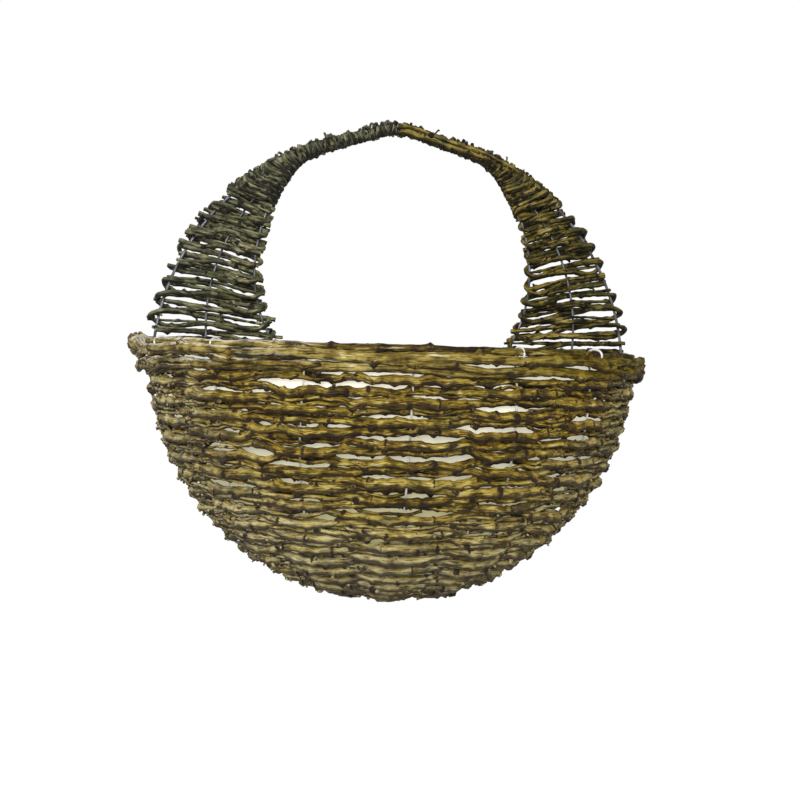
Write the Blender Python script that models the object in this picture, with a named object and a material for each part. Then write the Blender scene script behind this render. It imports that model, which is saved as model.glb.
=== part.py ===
"""Half-round wall basket: knobbly vine twigs woven on a frame of galvanised wire.

The back is flat. The front is a quarter of a rounded bowl, and the handle is a crescent of three
wires that come together at the top, where the basket hangs on a hook. A thin plastic liner sits
inside the weave. Metres, +Z up, the front faces -Y, and the origin is the point under the top of the
handle where the hook takes hold.
"""

import math

import bmesh
import bpy
from mathutils import Vector

# Driving sizes of the frame
HOOP_HALF_WIDTH = 0.1865
BOWL_DROP = 0.191
BOWL_DEPTH = 0.180
HANDLE_RISE = 0.170
MIDDLE_BASE_SHARE = 0.781
INNER_BASE_SHARE = 0.49
JOIN_SHARE = 0.70
JOIN_SOFTNESS = 0.005
PEAK_RISE = 0.006
PEAK_HALF_WIDTH = 0.025
HOOP_WIRE_RADIUS = 0.0015
ARCH_WIRE_RADIUS = 0.00125
RIM_WIRE_RADIUS = 0.00125
RIB_WIRE_RADIUS = 0.0011
RIB_COUNT = 7
RIB_SETTLE = 0.014
UPRIGHT_FOOT = 0.014

# Twigs of the front: two rows a weaver, and the rows fill the bowl
WEAVER_COUNT = 18
ROW_GAP_SHARE = 0.14
BOTTOM_HOLE_RADIUS = 0.0115
STUB_LENGTH = 0.0055
SAME_SIDE_SPACING = 0.0150
SHORT_SPACING = 0.0190
LONG_SPACING = 0.0440
HOLD_SHARE = 0.25

# Twigs of the border
UPPER_BORDER_RADIUS = 0.0036
LOWER_BORDER_RADIUS = 0.0034
INNER_BORDER_RADIUS = 0.0030
UPPER_BORDER_LEVEL = 0.0045
BORDER_KNOB_RADIUS = 0.0090
BORDER_HEEL_RADIUS = 0.0070

# Twigs of the handle
LEG_TWIG_RADIUS = 0.0026
LEG_ROW_PITCH = 0.0068
LEG_FIRST_ROW = 0.0095
WINDING_TWIG_RADIUS = 0.0020
WINDING_LOOPS = 20

# Liner
LINER_WALL = 0.0012
LINER_SEGMENTS = 24
LINER_RINGS = 16

# Clearances
CLEARANCE = 0.0003
WEAVE_CLEARANCE = 0.0006
TURN_CLEARANCE = 0.0009
LINER_CLEARANCE = 0.0012

# Shares and counts
MID_AZIMUTH = math.radians(90)
RIB_SPACING = 2 * MID_AZIMUTH / (RIB_COUNT + 1)
RIB_STEPS = 14
HOOP_STEPS = 72
ARCH_STEPS = 20
BORDER_STEPS = 16
TURN_STEPS = 4
LEG_TOP_SHARE = 0.45
ROW_LEAN = math.radians(5)
NEAR_SHARE = 0.001
EDGE_TURN_SHARES = ((1.0, -0.45), (1.0, 0.45))
LOOP_END_SHARES = ((0.35, -1.0), (1.0, -0.45), (1.0, 0.45), (0.35, 1.0))
TOP_SHIFT_SHARES = (0.50, 0.66)
PEAK_STEP_SHARES = (-1.0, -0.5, 0.0, 0.5, 1.0)
EYE_ANGLES = tuple(math.radians(angle) for angle in (-60, -20, 20, 60, 100, 140, 180))
KNOB_LENGTH_SHARES = (-0.8, 0.2, 1.1)
KNOB_SWELL_SHARES = (0.7, 1.0, 0.9)
HEEL_LENGTH_SHARES = (1.2, 0.2, -0.9)
HEEL_SWELL_SHARES = (0.85, 1.0, 0.7)
TWIG_SWELL_SHARE = 0.10
SIDES_RESOLUTION = 1
GAP_SAMPLES = 8

# Colour, roughness and metallic share of each kind of stuff
WIRE_LOOK = ((0.46, 0.47, 0.46, 1), 0.42, 0.9)
TWIG_LOOK = ((0.20, 0.145, 0.05, 1), 0.75, 0.0)
BORDER_LOOK = ((0.16, 0.12, 0.045, 1), 0.75, 0.0)
HANDLE_LOOK = ((0.085, 0.075, 0.035, 1), 0.8, 0.0)
LINER_LOOK = ((0.72, 0.70, 0.60, 1), 0.45, 0.0)

UP = Vector((0, 0, 1))
BACK = Vector((0, 1, 0))


def material_of(name, look):
    """The piece's own Principled material, with the colour that it shows in a plain view."""
    colour, roughness, metallic = look
    material = bpy.data.materials.new(name)
    material.use_nodes = True
    shader = material.node_tree.nodes["Principled BSDF"]
    shader.inputs["Base Color"].default_value = colour
    shader.inputs["Roughness"].default_value = roughness
    shader.inputs["Metallic"].default_value = metallic
    return material


def tube(name, points, radius, look, swells=None, closed=False):
    """A round wire or twig along the points. swells scales the radius at each point."""
    curve = bpy.data.curves.new(name, "CURVE")
    curve.dimensions = "3D"
    curve.bevel_depth = radius
    curve.bevel_resolution = SIDES_RESOLUTION
    curve.use_fill_caps = True
    spline = curve.splines.new("POLY")
    spline.points.add(len(points) - 1)
    for index, (knot, place) in enumerate(zip(spline.points, points)):
        knot.co = (*place, 1)
        knot.radius = swells[index] if swells else 1
    spline.use_cyclic_u = closed
    spline.use_smooth = True
    curve.materials.append(material_of(name, look))
    piece = bpy.data.objects.new(name, curve)
    bpy.context.scene.collection.objects.link(piece)
    piece.parent = bpy.data.objects["rim_centre"]
    return piece


def knobbly(count, seed):
    """Radius shares of a twig: a slow, uneven swelling that never passes the full radius."""
    golden = (1 + math.sqrt(5)) / 2
    return [
        1 - TWIG_SWELL_SHARE * abs(math.sin((index + seed) * golden * math.pi))
        for index in range(count)
    ]


def bowl_point(azimuth, level, offset=0.0):
    """A point of the bowl's middle surface, level metres below the mouth along the hoop, moved out
    along the surface's normal. Azimuth 0 is the middle of the front, and +90 degrees the right."""
    fall = level / HOOP_HALF_WIDTH
    point = Vector(
        (
            HOOP_HALF_WIDTH * math.sin(azimuth) * math.cos(fall),
            -BOWL_DEPTH * math.cos(azimuth) * math.cos(fall),
            -BOWL_DROP * math.sin(fall),
        )
    )
    return point + offset * bowl_normal(point)


def bowl_normal(point):
    return Vector(
        (
            point.x / HOOP_HALF_WIDTH**2,
            point.y / BOWL_DEPTH**2,
            point.z / BOWL_DROP**2,
        )
    ).normalized()


def peak_lift(x):
    """The handle's top is drawn up to a soft peak where the hook holds it."""
    return PEAK_RISE * math.exp(-((x / PEAK_HALF_WIDTH) ** 2))


class Arch:
    """One of the handle's three wires over the mouth. The outer one is an arc. The others start
    further in at the mouth, come evenly closer to it, and are bound to it at the top."""

    def __init__(self, base_share, bound_gap, lean, top_shift):
        self.centre_height = (HANDLE_RISE**2 - HOOP_HALF_WIDTH**2) / (2 * HANDLE_RISE)
        self.radius = HANDLE_RISE - self.centre_height
        self.base_gap = (1 - base_share) * HOOP_HALF_WIDTH
        self.bound_gap = bound_gap
        self.lean = lean
        self.top_shift = top_shift

    def angle(self, share):
        """The angle over the mouth at the rim's centre. An inner wire is ahead of the outer one."""
        return MID_AZIMUTH * share + self.lean * math.sin(math.pi * min(1, share / JOIN_SHARE))

    def reach(self, angle):
        """How far from the rim's centre the wire is."""
        low = self.centre_height * math.cos(angle)
        arc = self.centre_height * math.sin(angle) + math.sqrt(self.radius**2 - low**2)
        if not self.base_gap:
            return arc
        even = (self.base_gap - self.bound_gap) * (1 - angle / (JOIN_SHARE * MID_AZIMUTH))
        return arc - self.bound_gap - (even + math.sqrt(even**2 + JOIN_SOFTNESS**2)) / 2

    def point(self, share, side):
        """Share 0 is the base on that side (-1 left, 1 right), and share 1 the top."""
        angle = self.angle(share)
        reach = self.reach(angle)
        place = Vector((side * reach * math.cos(angle), 0, reach * math.sin(angle)))
        place.z += peak_lift(place.x)
        first, last = TOP_SHIFT_SHARES
        drawn = min(1, max(0, (share - first) / (last - first)))
        return place + self.top_shift * drawn * drawn * (3 - 2 * drawn) * BACK

    def outward(self, share, side):
        """The way out of the handle, square to the wire."""
        along = self.point(share + NEAR_SHARE, side) - self.point(share - NEAR_SHARE, side)
        return Vector((side * along.z, 0, -side * along.x)).normalized()


def bound_places():
    """How far the two inner wires lie under the hoop where all three are bound together, and how
    far each lies to its side."""
    apart = 2 * ARCH_WIRE_RADIUS + CLEARANCE
    reach = HOOP_WIRE_RADIUS + ARCH_WIRE_RADIUS + CLEARANCE
    return math.sqrt(reach**2 - (apart / 2) ** 2), apart / 2


def make_arches():
    under, shift = bound_places()
    return (
        Arch(1, 0, 0, 0),
        Arch(MIDDLE_BASE_SHARE, under, ROW_LEAN / 2, -shift),
        Arch(INNER_BASE_SHARE, under + ARCH_WIRE_RADIUS, ROW_LEAN, shift),
    )


def lower_border_level():
    return UPPER_BORDER_LEVEL + UPPER_BORDER_RADIUS + LOWER_BORDER_RADIUS + CLEARANCE


def joint_room():
    """The clear width between two rows where a wire runs between them to the hoop."""
    return 2 * (ARCH_WIRE_RADIUS + CLEARANCE) + CLEARANCE


def row_pitch():
    """The distance of two rows' middles at which all rows fill the bowl, from the border's lower
    twig to the small hole at the bottom, with room for the wires that meet the hoop."""
    joints = (RIB_COUNT - 1) // 2 + 2
    top = lower_border_level() + LOWER_BORDER_RADIUS
    room = HOOP_HALF_WIDTH * MID_AZIMUTH - BOTTOM_HOLE_RADIUS - top - joints * joint_room()
    return room / (2 * WEAVER_COUNT - (1 - ROW_GAP_SHARE) / 2 - joints * ROW_GAP_SHARE)


def row_gap():
    return row_pitch() * ROW_GAP_SHARE


def twig_radius():
    return (row_pitch() - row_gap()) / 2


def plan_rows():
    """The levels of each weaver's two rows, and the levels at which wires meet the hoop."""
    first = lower_border_level() + LOWER_BORDER_RADIUS + row_gap() + twig_radius()
    extra = joint_room() - row_gap()
    rib_joints = (RIB_COUNT - 1) // 2
    wanted = [
        HOOP_HALF_WIDTH * math.acos(share) for share in (MIDDLE_BASE_SHARE, INNER_BASE_SHARE)
    ]
    uprights = [round((level - first) / (2 * row_pitch())) for level in wanted]
    feet = [WEAVER_COUNT - rib_joints + step for step in range(rib_joints)]
    rows, joints, level = [], {}, first
    for index in range(WEAVER_COUNT):
        if index in uprights + feet:
            joints[index] = level - (row_pitch() - extra) / 2
            level += extra
        rows.append((level, level + row_pitch()))
        level += 2 * row_pitch()
    return rows, [joints[index] for index in uprights], [joints[index] for index in feet]


def hoop_at(level, side):
    """A point on the lower half of the hoop."""
    return bowl_point(side * MID_AZIMUTH, level)


class Rib:
    """A bent wire from its eye round the rim wire down to the hoop, the short way over the bowl."""

    def __init__(self, number, foot_levels):
        place = number - (RIB_COUNT + 1) // 2
        self.side = (place > 0) - (place < 0)
        self.azimuth = place * RIB_SPACING
        bottom = HOOP_HALF_WIDTH * MID_AZIMUTH
        self.foot_level = foot_levels[len(foot_levels) - abs(place)] if place else bottom
        self.top = Vector((math.sin(self.azimuth), -math.cos(self.azimuth), 0))
        fall = self.foot_level / HOOP_HALF_WIDTH
        self.foot = Vector((self.side * math.cos(fall), 0, -math.sin(fall)))
        self.sweep = self.top.angle(self.foot)

    def direction(self, turned):
        return (
            self.top * math.sin(self.sweep - turned) + self.foot * math.sin(turned)
        ) / math.sin(self.sweep)

    def place(self, turned):
        """A point of the wire as azimuth and level."""
        way = self.direction(turned)
        return math.atan2(way.x, -way.y), HOOP_HALF_WIDTH * math.asin(min(1, -way.z))

    def foot_gap(self):
        """How far short of the hoop's centre line the rib ends, so that its slanted end is clear."""
        before = bowl_point(*self.place(self.sweep - RIB_SETTLE / HOOP_HALF_WIDTH))
        along = (bowl_point(*self.place(self.sweep)) - before).normalized()
        across = along.dot(BACK)
        slant = math.sqrt(1 - across**2)
        return (HOOP_WIRE_RADIUS + CLEARANCE + RIB_WIRE_RADIUS * slant) / across

    def azimuth_at(self, level):
        """Where the rib crosses a row, or None below its foot."""
        rise = math.sin(level / HOOP_HALF_WIDTH) * math.sin(self.sweep) / -self.foot.z
        if level >= self.foot_level or rise >= math.sin(min(self.sweep, math.pi / 2)):
            return None
        return self.place(math.asin(rise))[0]


def rib_points(rib):
    """The eye round the rim wire, the bend down inside it, the rib, and its foot at the hoop."""
    eye = RIM_WIRE_RADIUS + CLEARANCE + RIB_WIRE_RADIUS
    rim = bowl_point(rib.azimuth, 0)
    out = bowl_normal(rim)
    points = [rim + eye * (math.cos(turn) * out + math.sin(turn) * UP) for turn in EYE_ANGLES]
    first = RIB_SETTLE / HOOP_HALF_WIDTH
    last = rib.sweep - rib.foot_gap() / HOOP_HALF_WIDTH
    for step in range(RIB_STEPS + 1):
        points.append(bowl_point(*rib.place(first + (last - first) * step / RIB_STEPS)))
    return points


def hoop_points(arch):
    """The whole ring: the lower half under the mouth, then the handle's outer wire."""
    points = []
    half = HOOP_STEPS // 2
    for step in range(half):
        fall = math.pi * step / half
        points.append(
            Vector((-HOOP_HALF_WIDTH * math.cos(fall), 0, -BOWL_DROP * math.sin(fall)))
        )
    return points + arch_points(arch)


def arch_points(arch):
    """From the right base over the top to the left base, with closer points at the soft peak."""
    shares = [step / ARCH_STEPS for step in range(ARCH_STEPS)]
    edge = 1 - PEAK_HALF_WIDTH / arch.radius / MID_AZIMUTH
    shares = [share for share in shares if share < edge - 1 / (2 * ARCH_STEPS)]
    up = [arch.point(share, 1) for share in shares]
    down = [arch.point(share, -1) for share in reversed(shares)]
    peak = []
    for step in PEAK_STEP_SHARES:
        share = 1 - abs(step) * (1 - edge)
        peak.append(arch.point(share, -1 if step > 0 else 1))
    return up + peak + down


def upright_points(arch, foot_level):
    """A handle wire with its two legs carried down the back to the hoop."""
    points = arch_points(arch)
    for side, at_end in ((1, False), (-1, True)):
        hoop = hoop_at(foot_level, side)
        inward = -bowl_normal(hoop)
        foot = hoop + (HOOP_WIRE_RADIUS + CLEARANCE) * inward
        ankle = hoop + UPRIGHT_FOOT * inward
        points = points + [ankle, foot] if at_end else [foot, ankle] + points
    return points


def row_radius(level):
    return HOOP_HALF_WIDTH * math.cos(level / HOOP_HALF_WIDTH)


def crossings_of(level, weaver_level, ribs):
    """The azimuths where a row crosses the ribs and the hoop, each with its turn in the weave.
    The count runs out from the middle, so that both halves match, and wires that lie close together
    at the weaver's level are passed on one side."""
    right = [rib for rib in ribs if rib.side > 0 and rib.azimuth_at(level) is not None]
    right.sort(key=lambda rib: rib.azimuth_at(level))
    turn, last, half = 0, 0.0, []
    for rib in right + [None]:
        at_weaver = rib.azimuth_at(weaver_level) if rib else MID_AZIMUTH
        if (at_weaver - last) * row_radius(weaver_level) > SAME_SIDE_SPACING:
            turn += 1
        half.append((rib.azimuth_at(level) if rib else MID_AZIMUTH, turn))
        last = at_weaver
    left = [(-azimuth, turn) for azimuth, turn in reversed(half)]
    return left + [(0.0, 0)] + half


def row_points(row, level, weaver_level, ribs):
    """One row from the left hoop to the right hoop, outside one wire and inside the next. A short
    run next to the hoop keeps the hoop's side for a while, to get clear of it."""
    at_rib = RIB_WIRE_RADIUS + WEAVE_CLEARANCE + twig_radius()
    at_hoop = HOOP_WIRE_RADIUS + WEAVE_CLEARANCE + twig_radius()
    points = []
    before = None
    for azimuth, turn in crossings_of(level, weaver_level, ribs):
        reach = at_hoop if abs(azimuth) == MID_AZIMUTH else at_rib
        offset = reach * (-1) ** (row + turn)
        if before:
            run = (azimuth - before[0]) * row_radius(level)
            hoop_first = abs(before[0]) == MID_AZIMUTH
            crosses = offset * before[1] < 0 and (hoop_first or reach == at_hoop)
            if run > LONG_SPACING:
                middle = (azimuth + before[0]) / 2
                points.append(bowl_point(middle, level, (offset + before[1]) / 2))
            elif crosses and SAME_SIDE_SPACING < run < SHORT_SPACING:
                held = HOLD_SHARE if hoop_first else 1 - HOLD_SHARE
                place = before[0] + held * (azimuth - before[0])
                points.append(bowl_point(place, level, before[1] if hoop_first else offset))
        points.append(bowl_point(azimuth, level, offset))
        before = (azimuth, offset)
    return points


def turn_points(first_end, second_end, hoop_from, hoop_to):
    """The half turn behind the hoop that joins two rows."""
    reach = (first_end - hoop_from).length
    out = (first_end - hoop_from).normalized()
    points = []
    for step in range(1, TURN_STEPS):
        share = step / TURN_STEPS
        angle = math.pi * share
        centre = hoop_from.lerp(hoop_to, share)
        points.append(centre + reach * (math.cos(angle) * out + math.sin(angle) * BACK))
    return points


def weaver_points(index, levels, ribs):
    """Two rows and the turn between them, with a cut stub at each end. Odd and even weavers turn
    at opposite sides."""
    middle = sum(levels) / 2
    upper = row_points(2 * index, levels[0], middle, ribs)
    lower = row_points(2 * index + 1, levels[1], middle, ribs)
    side = 1 if index % 2 else -1
    if side < 0:
        upper.reverse()
        lower.reverse()
    stub = STUB_LENGTH * BACK
    turn = turn_points(upper[-1], lower[-1], hoop_at(levels[0], side), hoop_at(levels[1], side))
    lower.reverse()
    return [upper[0] + stub] + upper + turn + lower + [lower[-1] + stub]


def border_points(level, offset):
    half = BORDER_STEPS // 2
    return [
        bowl_point(step / half * MID_AZIMUTH, level, offset) for step in range(-half + 1, half)
    ]


def upper_border():
    """The stout twig at the mouth. Its left end is a thick root knob outside the hoop."""
    eye = RIM_WIRE_RADIUS + CLEARANCE + 2 * RIB_WIRE_RADIUS
    offset = eye + CLEARANCE + UPPER_BORDER_RADIUS
    points = border_points(UPPER_BORDER_LEVEL, offset)
    swells = knobbly(len(points), 1)
    knob = Vector((-HOOP_HALF_WIDTH - HOOP_WIRE_RADIUS - CLEARANCE - BORDER_KNOB_RADIUS, 0, 0))
    head = [knob - share * BORDER_KNOB_RADIUS * BACK for share in KNOB_LENGTH_SHARES]
    full = BORDER_KNOB_RADIUS / UPPER_BORDER_RADIUS
    return head + points, [full * share for share in KNOB_SWELL_SHARES] + swells


def lower_border():
    """The second twig of the border. Its right end is thick and closes the right corner."""
    offset = RIB_WIRE_RADIUS + CLEARANCE + LOWER_BORDER_RADIUS
    points = border_points(lower_border_level(), offset)
    swells = knobbly(len(points), 2)
    out = HOOP_HALF_WIDTH + HOOP_WIRE_RADIUS + CLEARANCE + BORDER_HEEL_RADIUS
    down = lower_border_level() + LOWER_BORDER_RADIUS - BORDER_HEEL_RADIUS
    heel = Vector((out, 0, -down))
    tail = [heel - share * BORDER_HEEL_RADIUS * BACK for share in HEEL_LENGTH_SHARES]
    full = BORDER_HEEL_RADIUS / LOWER_BORDER_RADIUS
    return points + tail, swells + [full * share for share in HEEL_SWELL_SHARES]


def inner_border():
    """The border's twig behind the ribs, which holds the liner's edge down."""
    eye = RIM_WIRE_RADIUS + CLEARANCE + 2 * RIB_WIRE_RADIUS
    offset = -(eye + CLEARANCE + INNER_BORDER_RADIUS)
    points = border_points(UPPER_BORDER_LEVEL, offset)
    return points, knobbly(len(points), 3)


def leg_share_range(arches):
    """The shares of the first and last woven rows of a leg, and the number of rows."""
    outer = arches[0]
    start = math.asin(LEG_FIRST_ROW / outer.radius) / MID_AZIMUTH
    length = outer.radius * MID_AZIMUTH * (LEG_TOP_SHARE - start)
    rows = 2 * int(length / LEG_ROW_PITCH / 2)
    return start, rows


def leg_points(arches, side, first_row, row_count):
    """A vine woven to and fro over the three wires of a leg, round the outer and inner ones."""
    outer, middle, inner = arches
    start, rows = leg_share_range(arches)
    step = (LEG_TOP_SHARE - start) / (rows - 1)
    reach = ARCH_WIRE_RADIUS + TURN_CLEARANCE + LEG_TWIG_RADIUS
    outer_reach = HOOP_WIRE_RADIUS + TURN_CLEARANCE + LEG_TWIG_RADIUS
    points = []
    for row in range(first_row, first_row + row_count):
        share = start + step * row
        front_first = (
            outer.point(share, side) - outer_reach * BACK,
            middle.point(share, side) + reach * BACK,
            inner.point(share, side) - reach * BACK,
        )
        back_first = (
            inner.point(share, side) + reach * BACK,
            middle.point(share, side) - reach * BACK,
            outer.point(share, side) + outer_reach * BACK,
        )
        points.extend(back_first if row % 2 else front_first)
        if row + 1 == first_row + row_count:
            break
        wire, out, deep = (outer, outer_reach, -outer_reach) if row % 2 else (inner, -reach, reach)
        for count, (out_share, deep_share) in enumerate(EDGE_TURN_SHARES, 1):
            at = share + step * count / (len(EDGE_TURN_SHARES) + 1)
            edge = wire.point(at, side) + out * out_share * wire.outward(at, side)
            points.append(edge + deep * deep_share * BACK)
    return points


def winding_reach():
    """Half the depth of the flat winding: it clears the wires that lie side by side at the top."""
    spread = bound_places()[1] + ARCH_WIRE_RADIUS
    return max(spread, HOOP_WIRE_RADIUS) + WEAVE_CLEARANCE + WINDING_TWIG_RADIUS


def winding_points(arches, side):
    """A thin vine wound round all three wires, from the woven leg up to the middle of the top."""
    outer, _, inner = arches
    deep = winding_reach()
    outer_reach = HOOP_WIRE_RADIUS + WEAVE_CLEARANCE + WINDING_TWIG_RADIUS
    inner_reach = ARCH_WIRE_RADIUS + WEAVE_CLEARANCE + WINDING_TWIG_RADIUS
    stops = 2 * len(LOOP_END_SHARES)
    loop_share = (1 - LEG_TOP_SHARE) / (WINDING_LOOPS + 2)
    first = LEG_TOP_SHARE + 3 * loop_share / 2
    last = 1 - loop_share / 2
    points = []
    total = WINDING_LOOPS * stops
    for count in range(total + 1):
        share = first + (last - first) * count / total
        at_inner, stop = divmod(count % stops, len(LOOP_END_SHARES))
        out_share, deep_share = LOOP_END_SHARES[stop]
        wire, reach, sign = (inner, inner_reach, -1) if at_inner else (outer, outer_reach, 1)
        place = wire.point(share, side)
        place.y = sign * deep_share * deep
        points.append(place + sign * out_share * reach * wire.outward(share, side))
    return points


def least_gap(points, radius, window):
    """The least clear distance between turns of one tube, measured between its centre lines."""
    fine = []
    for first, second in zip(points, points[1:]):
        fine.extend(first.lerp(second, step / GAP_SAMPLES) for step in range(GAP_SAMPLES))
    least = math.inf
    for index, place in enumerate(fine):
        for other in fine[index + window * GAP_SAMPLES :]:
            least = min(least, (place - other).length)
    return least - 2 * radius


def liner():
    """A thin pocket: the bowl's inside, with a flat back wall and an open mouth."""
    inset = RIB_WIRE_RADIUS + WEAVE_CLEARANCE + 2 * twig_radius() + LINER_CLEARANCE
    mesh = bmesh.new()
    bmesh.ops.create_uvsphere(
        mesh, u_segments=LINER_SEGMENTS, v_segments=LINER_RINGS, radius=1
    )
    size = (HOOP_HALF_WIDTH - inset, BOWL_DEPTH - inset, BOWL_DROP - inset)
    bmesh.ops.scale(mesh, vec=size, verts=mesh.verts)
    back = -(ARCH_WIRE_RADIUS + LINER_CLEARANCE / 2)
    cut = bmesh.ops.bisect_plane(
        mesh,
        geom=mesh.verts[:] + mesh.edges[:] + mesh.faces[:],
        plane_co=(0, back, 0),
        plane_no=BACK,
        clear_outer=True,
    )
    edges = [item for item in cut["geom_cut"] if isinstance(item, bmesh.types.BMEdge)]
    bmesh.ops.contextual_create(mesh, geom=edges)
    mouth = -(UPPER_BORDER_LEVEL + INNER_BORDER_RADIUS + CLEARANCE)
    bmesh.ops.bisect_plane(
        mesh,
        geom=mesh.verts[:] + mesh.edges[:] + mesh.faces[:],
        plane_co=(0, 0, mouth),
        plane_no=UP,
        clear_outer=True,
    )
    data = bpy.data.meshes.new("liner")
    mesh.to_mesh(data)
    mesh.free()
    data.materials.append(material_of("liner", LINER_LOOK))
    piece = bpy.data.objects.new("liner", data)
    bpy.context.scene.collection.objects.link(piece)
    piece.parent = bpy.data.objects["rim_centre"]
    wall = piece.modifiers.new("wall", "SOLIDIFY")
    wall.thickness = LINER_WALL
    wall.offset = -1
    wall.use_even_offset = True
    data.shade_smooth()
    return piece


def hook_height(arches):
    """Height of the handle's underside at the top over the mouth."""
    inner = arches[2]
    reach = ARCH_WIRE_RADIUS + WEAVE_CLEARANCE + 2 * WINDING_TWIG_RADIUS
    return inner.point(1, 1).z - reach


def make_frame(arches, ribs, upright_levels):
    """The hoop, the two rim wires, the handle's other wires and the ribs."""
    tube("back_hoop", hoop_points(arches[0]), HOOP_WIRE_RADIUS, WIRE_LOOK, closed=True)
    front = border_points(0, 0)
    end = HOOP_WIRE_RADIUS + CLEARANCE
    left = Vector((-HOOP_HALF_WIDTH, -end, 0))
    right = Vector((HOOP_HALF_WIDTH, -end, 0))
    tube("front_rim_wire", [left] + front + [right], RIM_WIRE_RADIUS, WIRE_LOOK)
    behind = HOOP_WIRE_RADIUS + CLEARANCE + RIM_WIRE_RADIUS
    bar = [Vector((side * HOOP_HALF_WIDTH, behind, 0)) for side in (-1, 1)]
    tube("back_rim_wire", bar, RIM_WIRE_RADIUS, WIRE_LOOK)
    for name, arch, level in zip(
        ("handle_middle_wire", "handle_inner_wire"), arches[1:], upright_levels
    ):
        tube(name, upright_points(arch, level), ARCH_WIRE_RADIUS, WIRE_LOOK)
    for number, rib in enumerate(ribs, 1):
        tube(f"rib_{number}", rib_points(rib), RIB_WIRE_RADIUS, WIRE_LOOK)


def make_front(rows, ribs):
    for index, levels in enumerate(rows):
        points = weaver_points(index, levels, ribs)
        name = f"front_weaver_{index + 1:02d}"
        tube(name, points, twig_radius(), TWIG_LOOK, knobbly(len(points), index))


def make_border():
    for name, (points, swells), radius in (
        ("upper_border_twig", upper_border(), UPPER_BORDER_RADIUS),
        ("lower_border_twig", lower_border(), LOWER_BORDER_RADIUS),
        ("inner_border_twig", inner_border(), INNER_BORDER_RADIUS),
    ):
        tube(name, points, radius, BORDER_LOOK, swells)


def make_handle(arches):
    """Two woven vines on each leg and one winding on each half of the top."""
    rows = leg_share_range(arches)[1]
    half = 2 * (rows // 4)
    for side, word in ((-1, "left"), (1, "right")):
        for number, (first, count) in enumerate(((0, half), (half, rows - half)), 1):
            points = leg_points(arches, side, first, count)
            swells = knobbly(len(points), number)
            tube(f"{word}_leg_weaver_{number}", points, LEG_TWIG_RADIUS, HANDLE_LOOK, swells)
        points = winding_points(arches, side)
        tube(f"{word}_handle_winding", points, WINDING_TWIG_RADIUS, HANDLE_LOOK)
        gap = least_gap(points, WINDING_TWIG_RADIUS, len(LOOP_END_SHARES) + 2)
        print(f"{word}_handle_winding: least gap between loops {gap * 1000:.2f} mm")


def main():
    for old in list(bpy.data.objects):
        bpy.data.objects.remove(old)
    arches = make_arches()
    rim_centre = bpy.data.objects.new("rim_centre", None)
    bpy.context.scene.collection.objects.link(rim_centre)
    rim_centre.location = (0, 0, -hook_height(arches))
    rows, upright_levels, foot_levels = plan_rows()
    ribs = [Rib(number, foot_levels) for number in range(1, RIB_COUNT + 1)]
    make_frame(arches, ribs, upright_levels)
    make_front(rows, ribs)
    make_border()
    make_handle(arches)
    liner()


main()
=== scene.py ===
import math

import bmesh
import bpy
import numpy as np
from mathutils import Matrix, Vector


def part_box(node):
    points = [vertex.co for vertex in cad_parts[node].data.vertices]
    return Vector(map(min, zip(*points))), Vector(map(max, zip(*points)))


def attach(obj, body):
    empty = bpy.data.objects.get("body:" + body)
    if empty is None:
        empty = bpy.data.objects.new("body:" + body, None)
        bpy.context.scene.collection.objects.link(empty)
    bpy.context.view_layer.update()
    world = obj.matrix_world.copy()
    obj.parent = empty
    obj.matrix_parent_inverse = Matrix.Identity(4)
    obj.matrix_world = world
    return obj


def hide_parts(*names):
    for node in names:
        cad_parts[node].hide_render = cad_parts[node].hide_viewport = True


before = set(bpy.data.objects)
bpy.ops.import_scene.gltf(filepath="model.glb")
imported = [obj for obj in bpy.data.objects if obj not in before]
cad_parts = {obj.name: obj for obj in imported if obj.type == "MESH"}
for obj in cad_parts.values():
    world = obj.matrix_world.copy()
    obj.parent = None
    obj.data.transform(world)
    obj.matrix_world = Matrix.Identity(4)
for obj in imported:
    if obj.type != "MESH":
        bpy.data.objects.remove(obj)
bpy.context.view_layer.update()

# The hoop: one ring of galvanised wire, butt-welded. Its lower half is the back edge of the bowl and
# its upper half the outer edge of the handle, drawn up to a soft peak where the basket hangs. It has
# stain patches, and its blue-grey, much deeper than the ribs' zinc, is painted shade.

HOOP_HALF_WIDTH = 0.1865
BOWL_DROP = 0.191
HANDLE_RISE = 0.170
PEAK_RISE = 0.006
PEAK_HALF_WIDTH = 0.025
HOOP_WIRE = 0.0015
THIN_WIRE = 0.00125
WIRE_TOUCH = 0.0003
SEEN_SHARE = 0.76
MIDDLE_BASE_SHARE = 0.781
INNER_BASE_SHARE = 0.49
JOIN_SHARE = 0.70
JOIN_SOFTNESS = 0.005
ROW_LEAN = math.radians(5)
DRAWN_SHARES = (0.50, 0.66)
QUARTER = math.pi / 2
RIM_LEVEL = sum(corner[2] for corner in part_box("back_rim_wire")) / 2

UP = np.array((0.0, 0.0, 1.0))
BACK = np.array((0.0, 1.0, 0.0))
RIM_CENTRE = RIM_LEVEL * UP


def length_of(vectors):
    return np.linalg.norm(vectors, axis=-1, keepdims=True)


def unit_of(vectors):
    return vectors / length_of(vectors)


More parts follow.
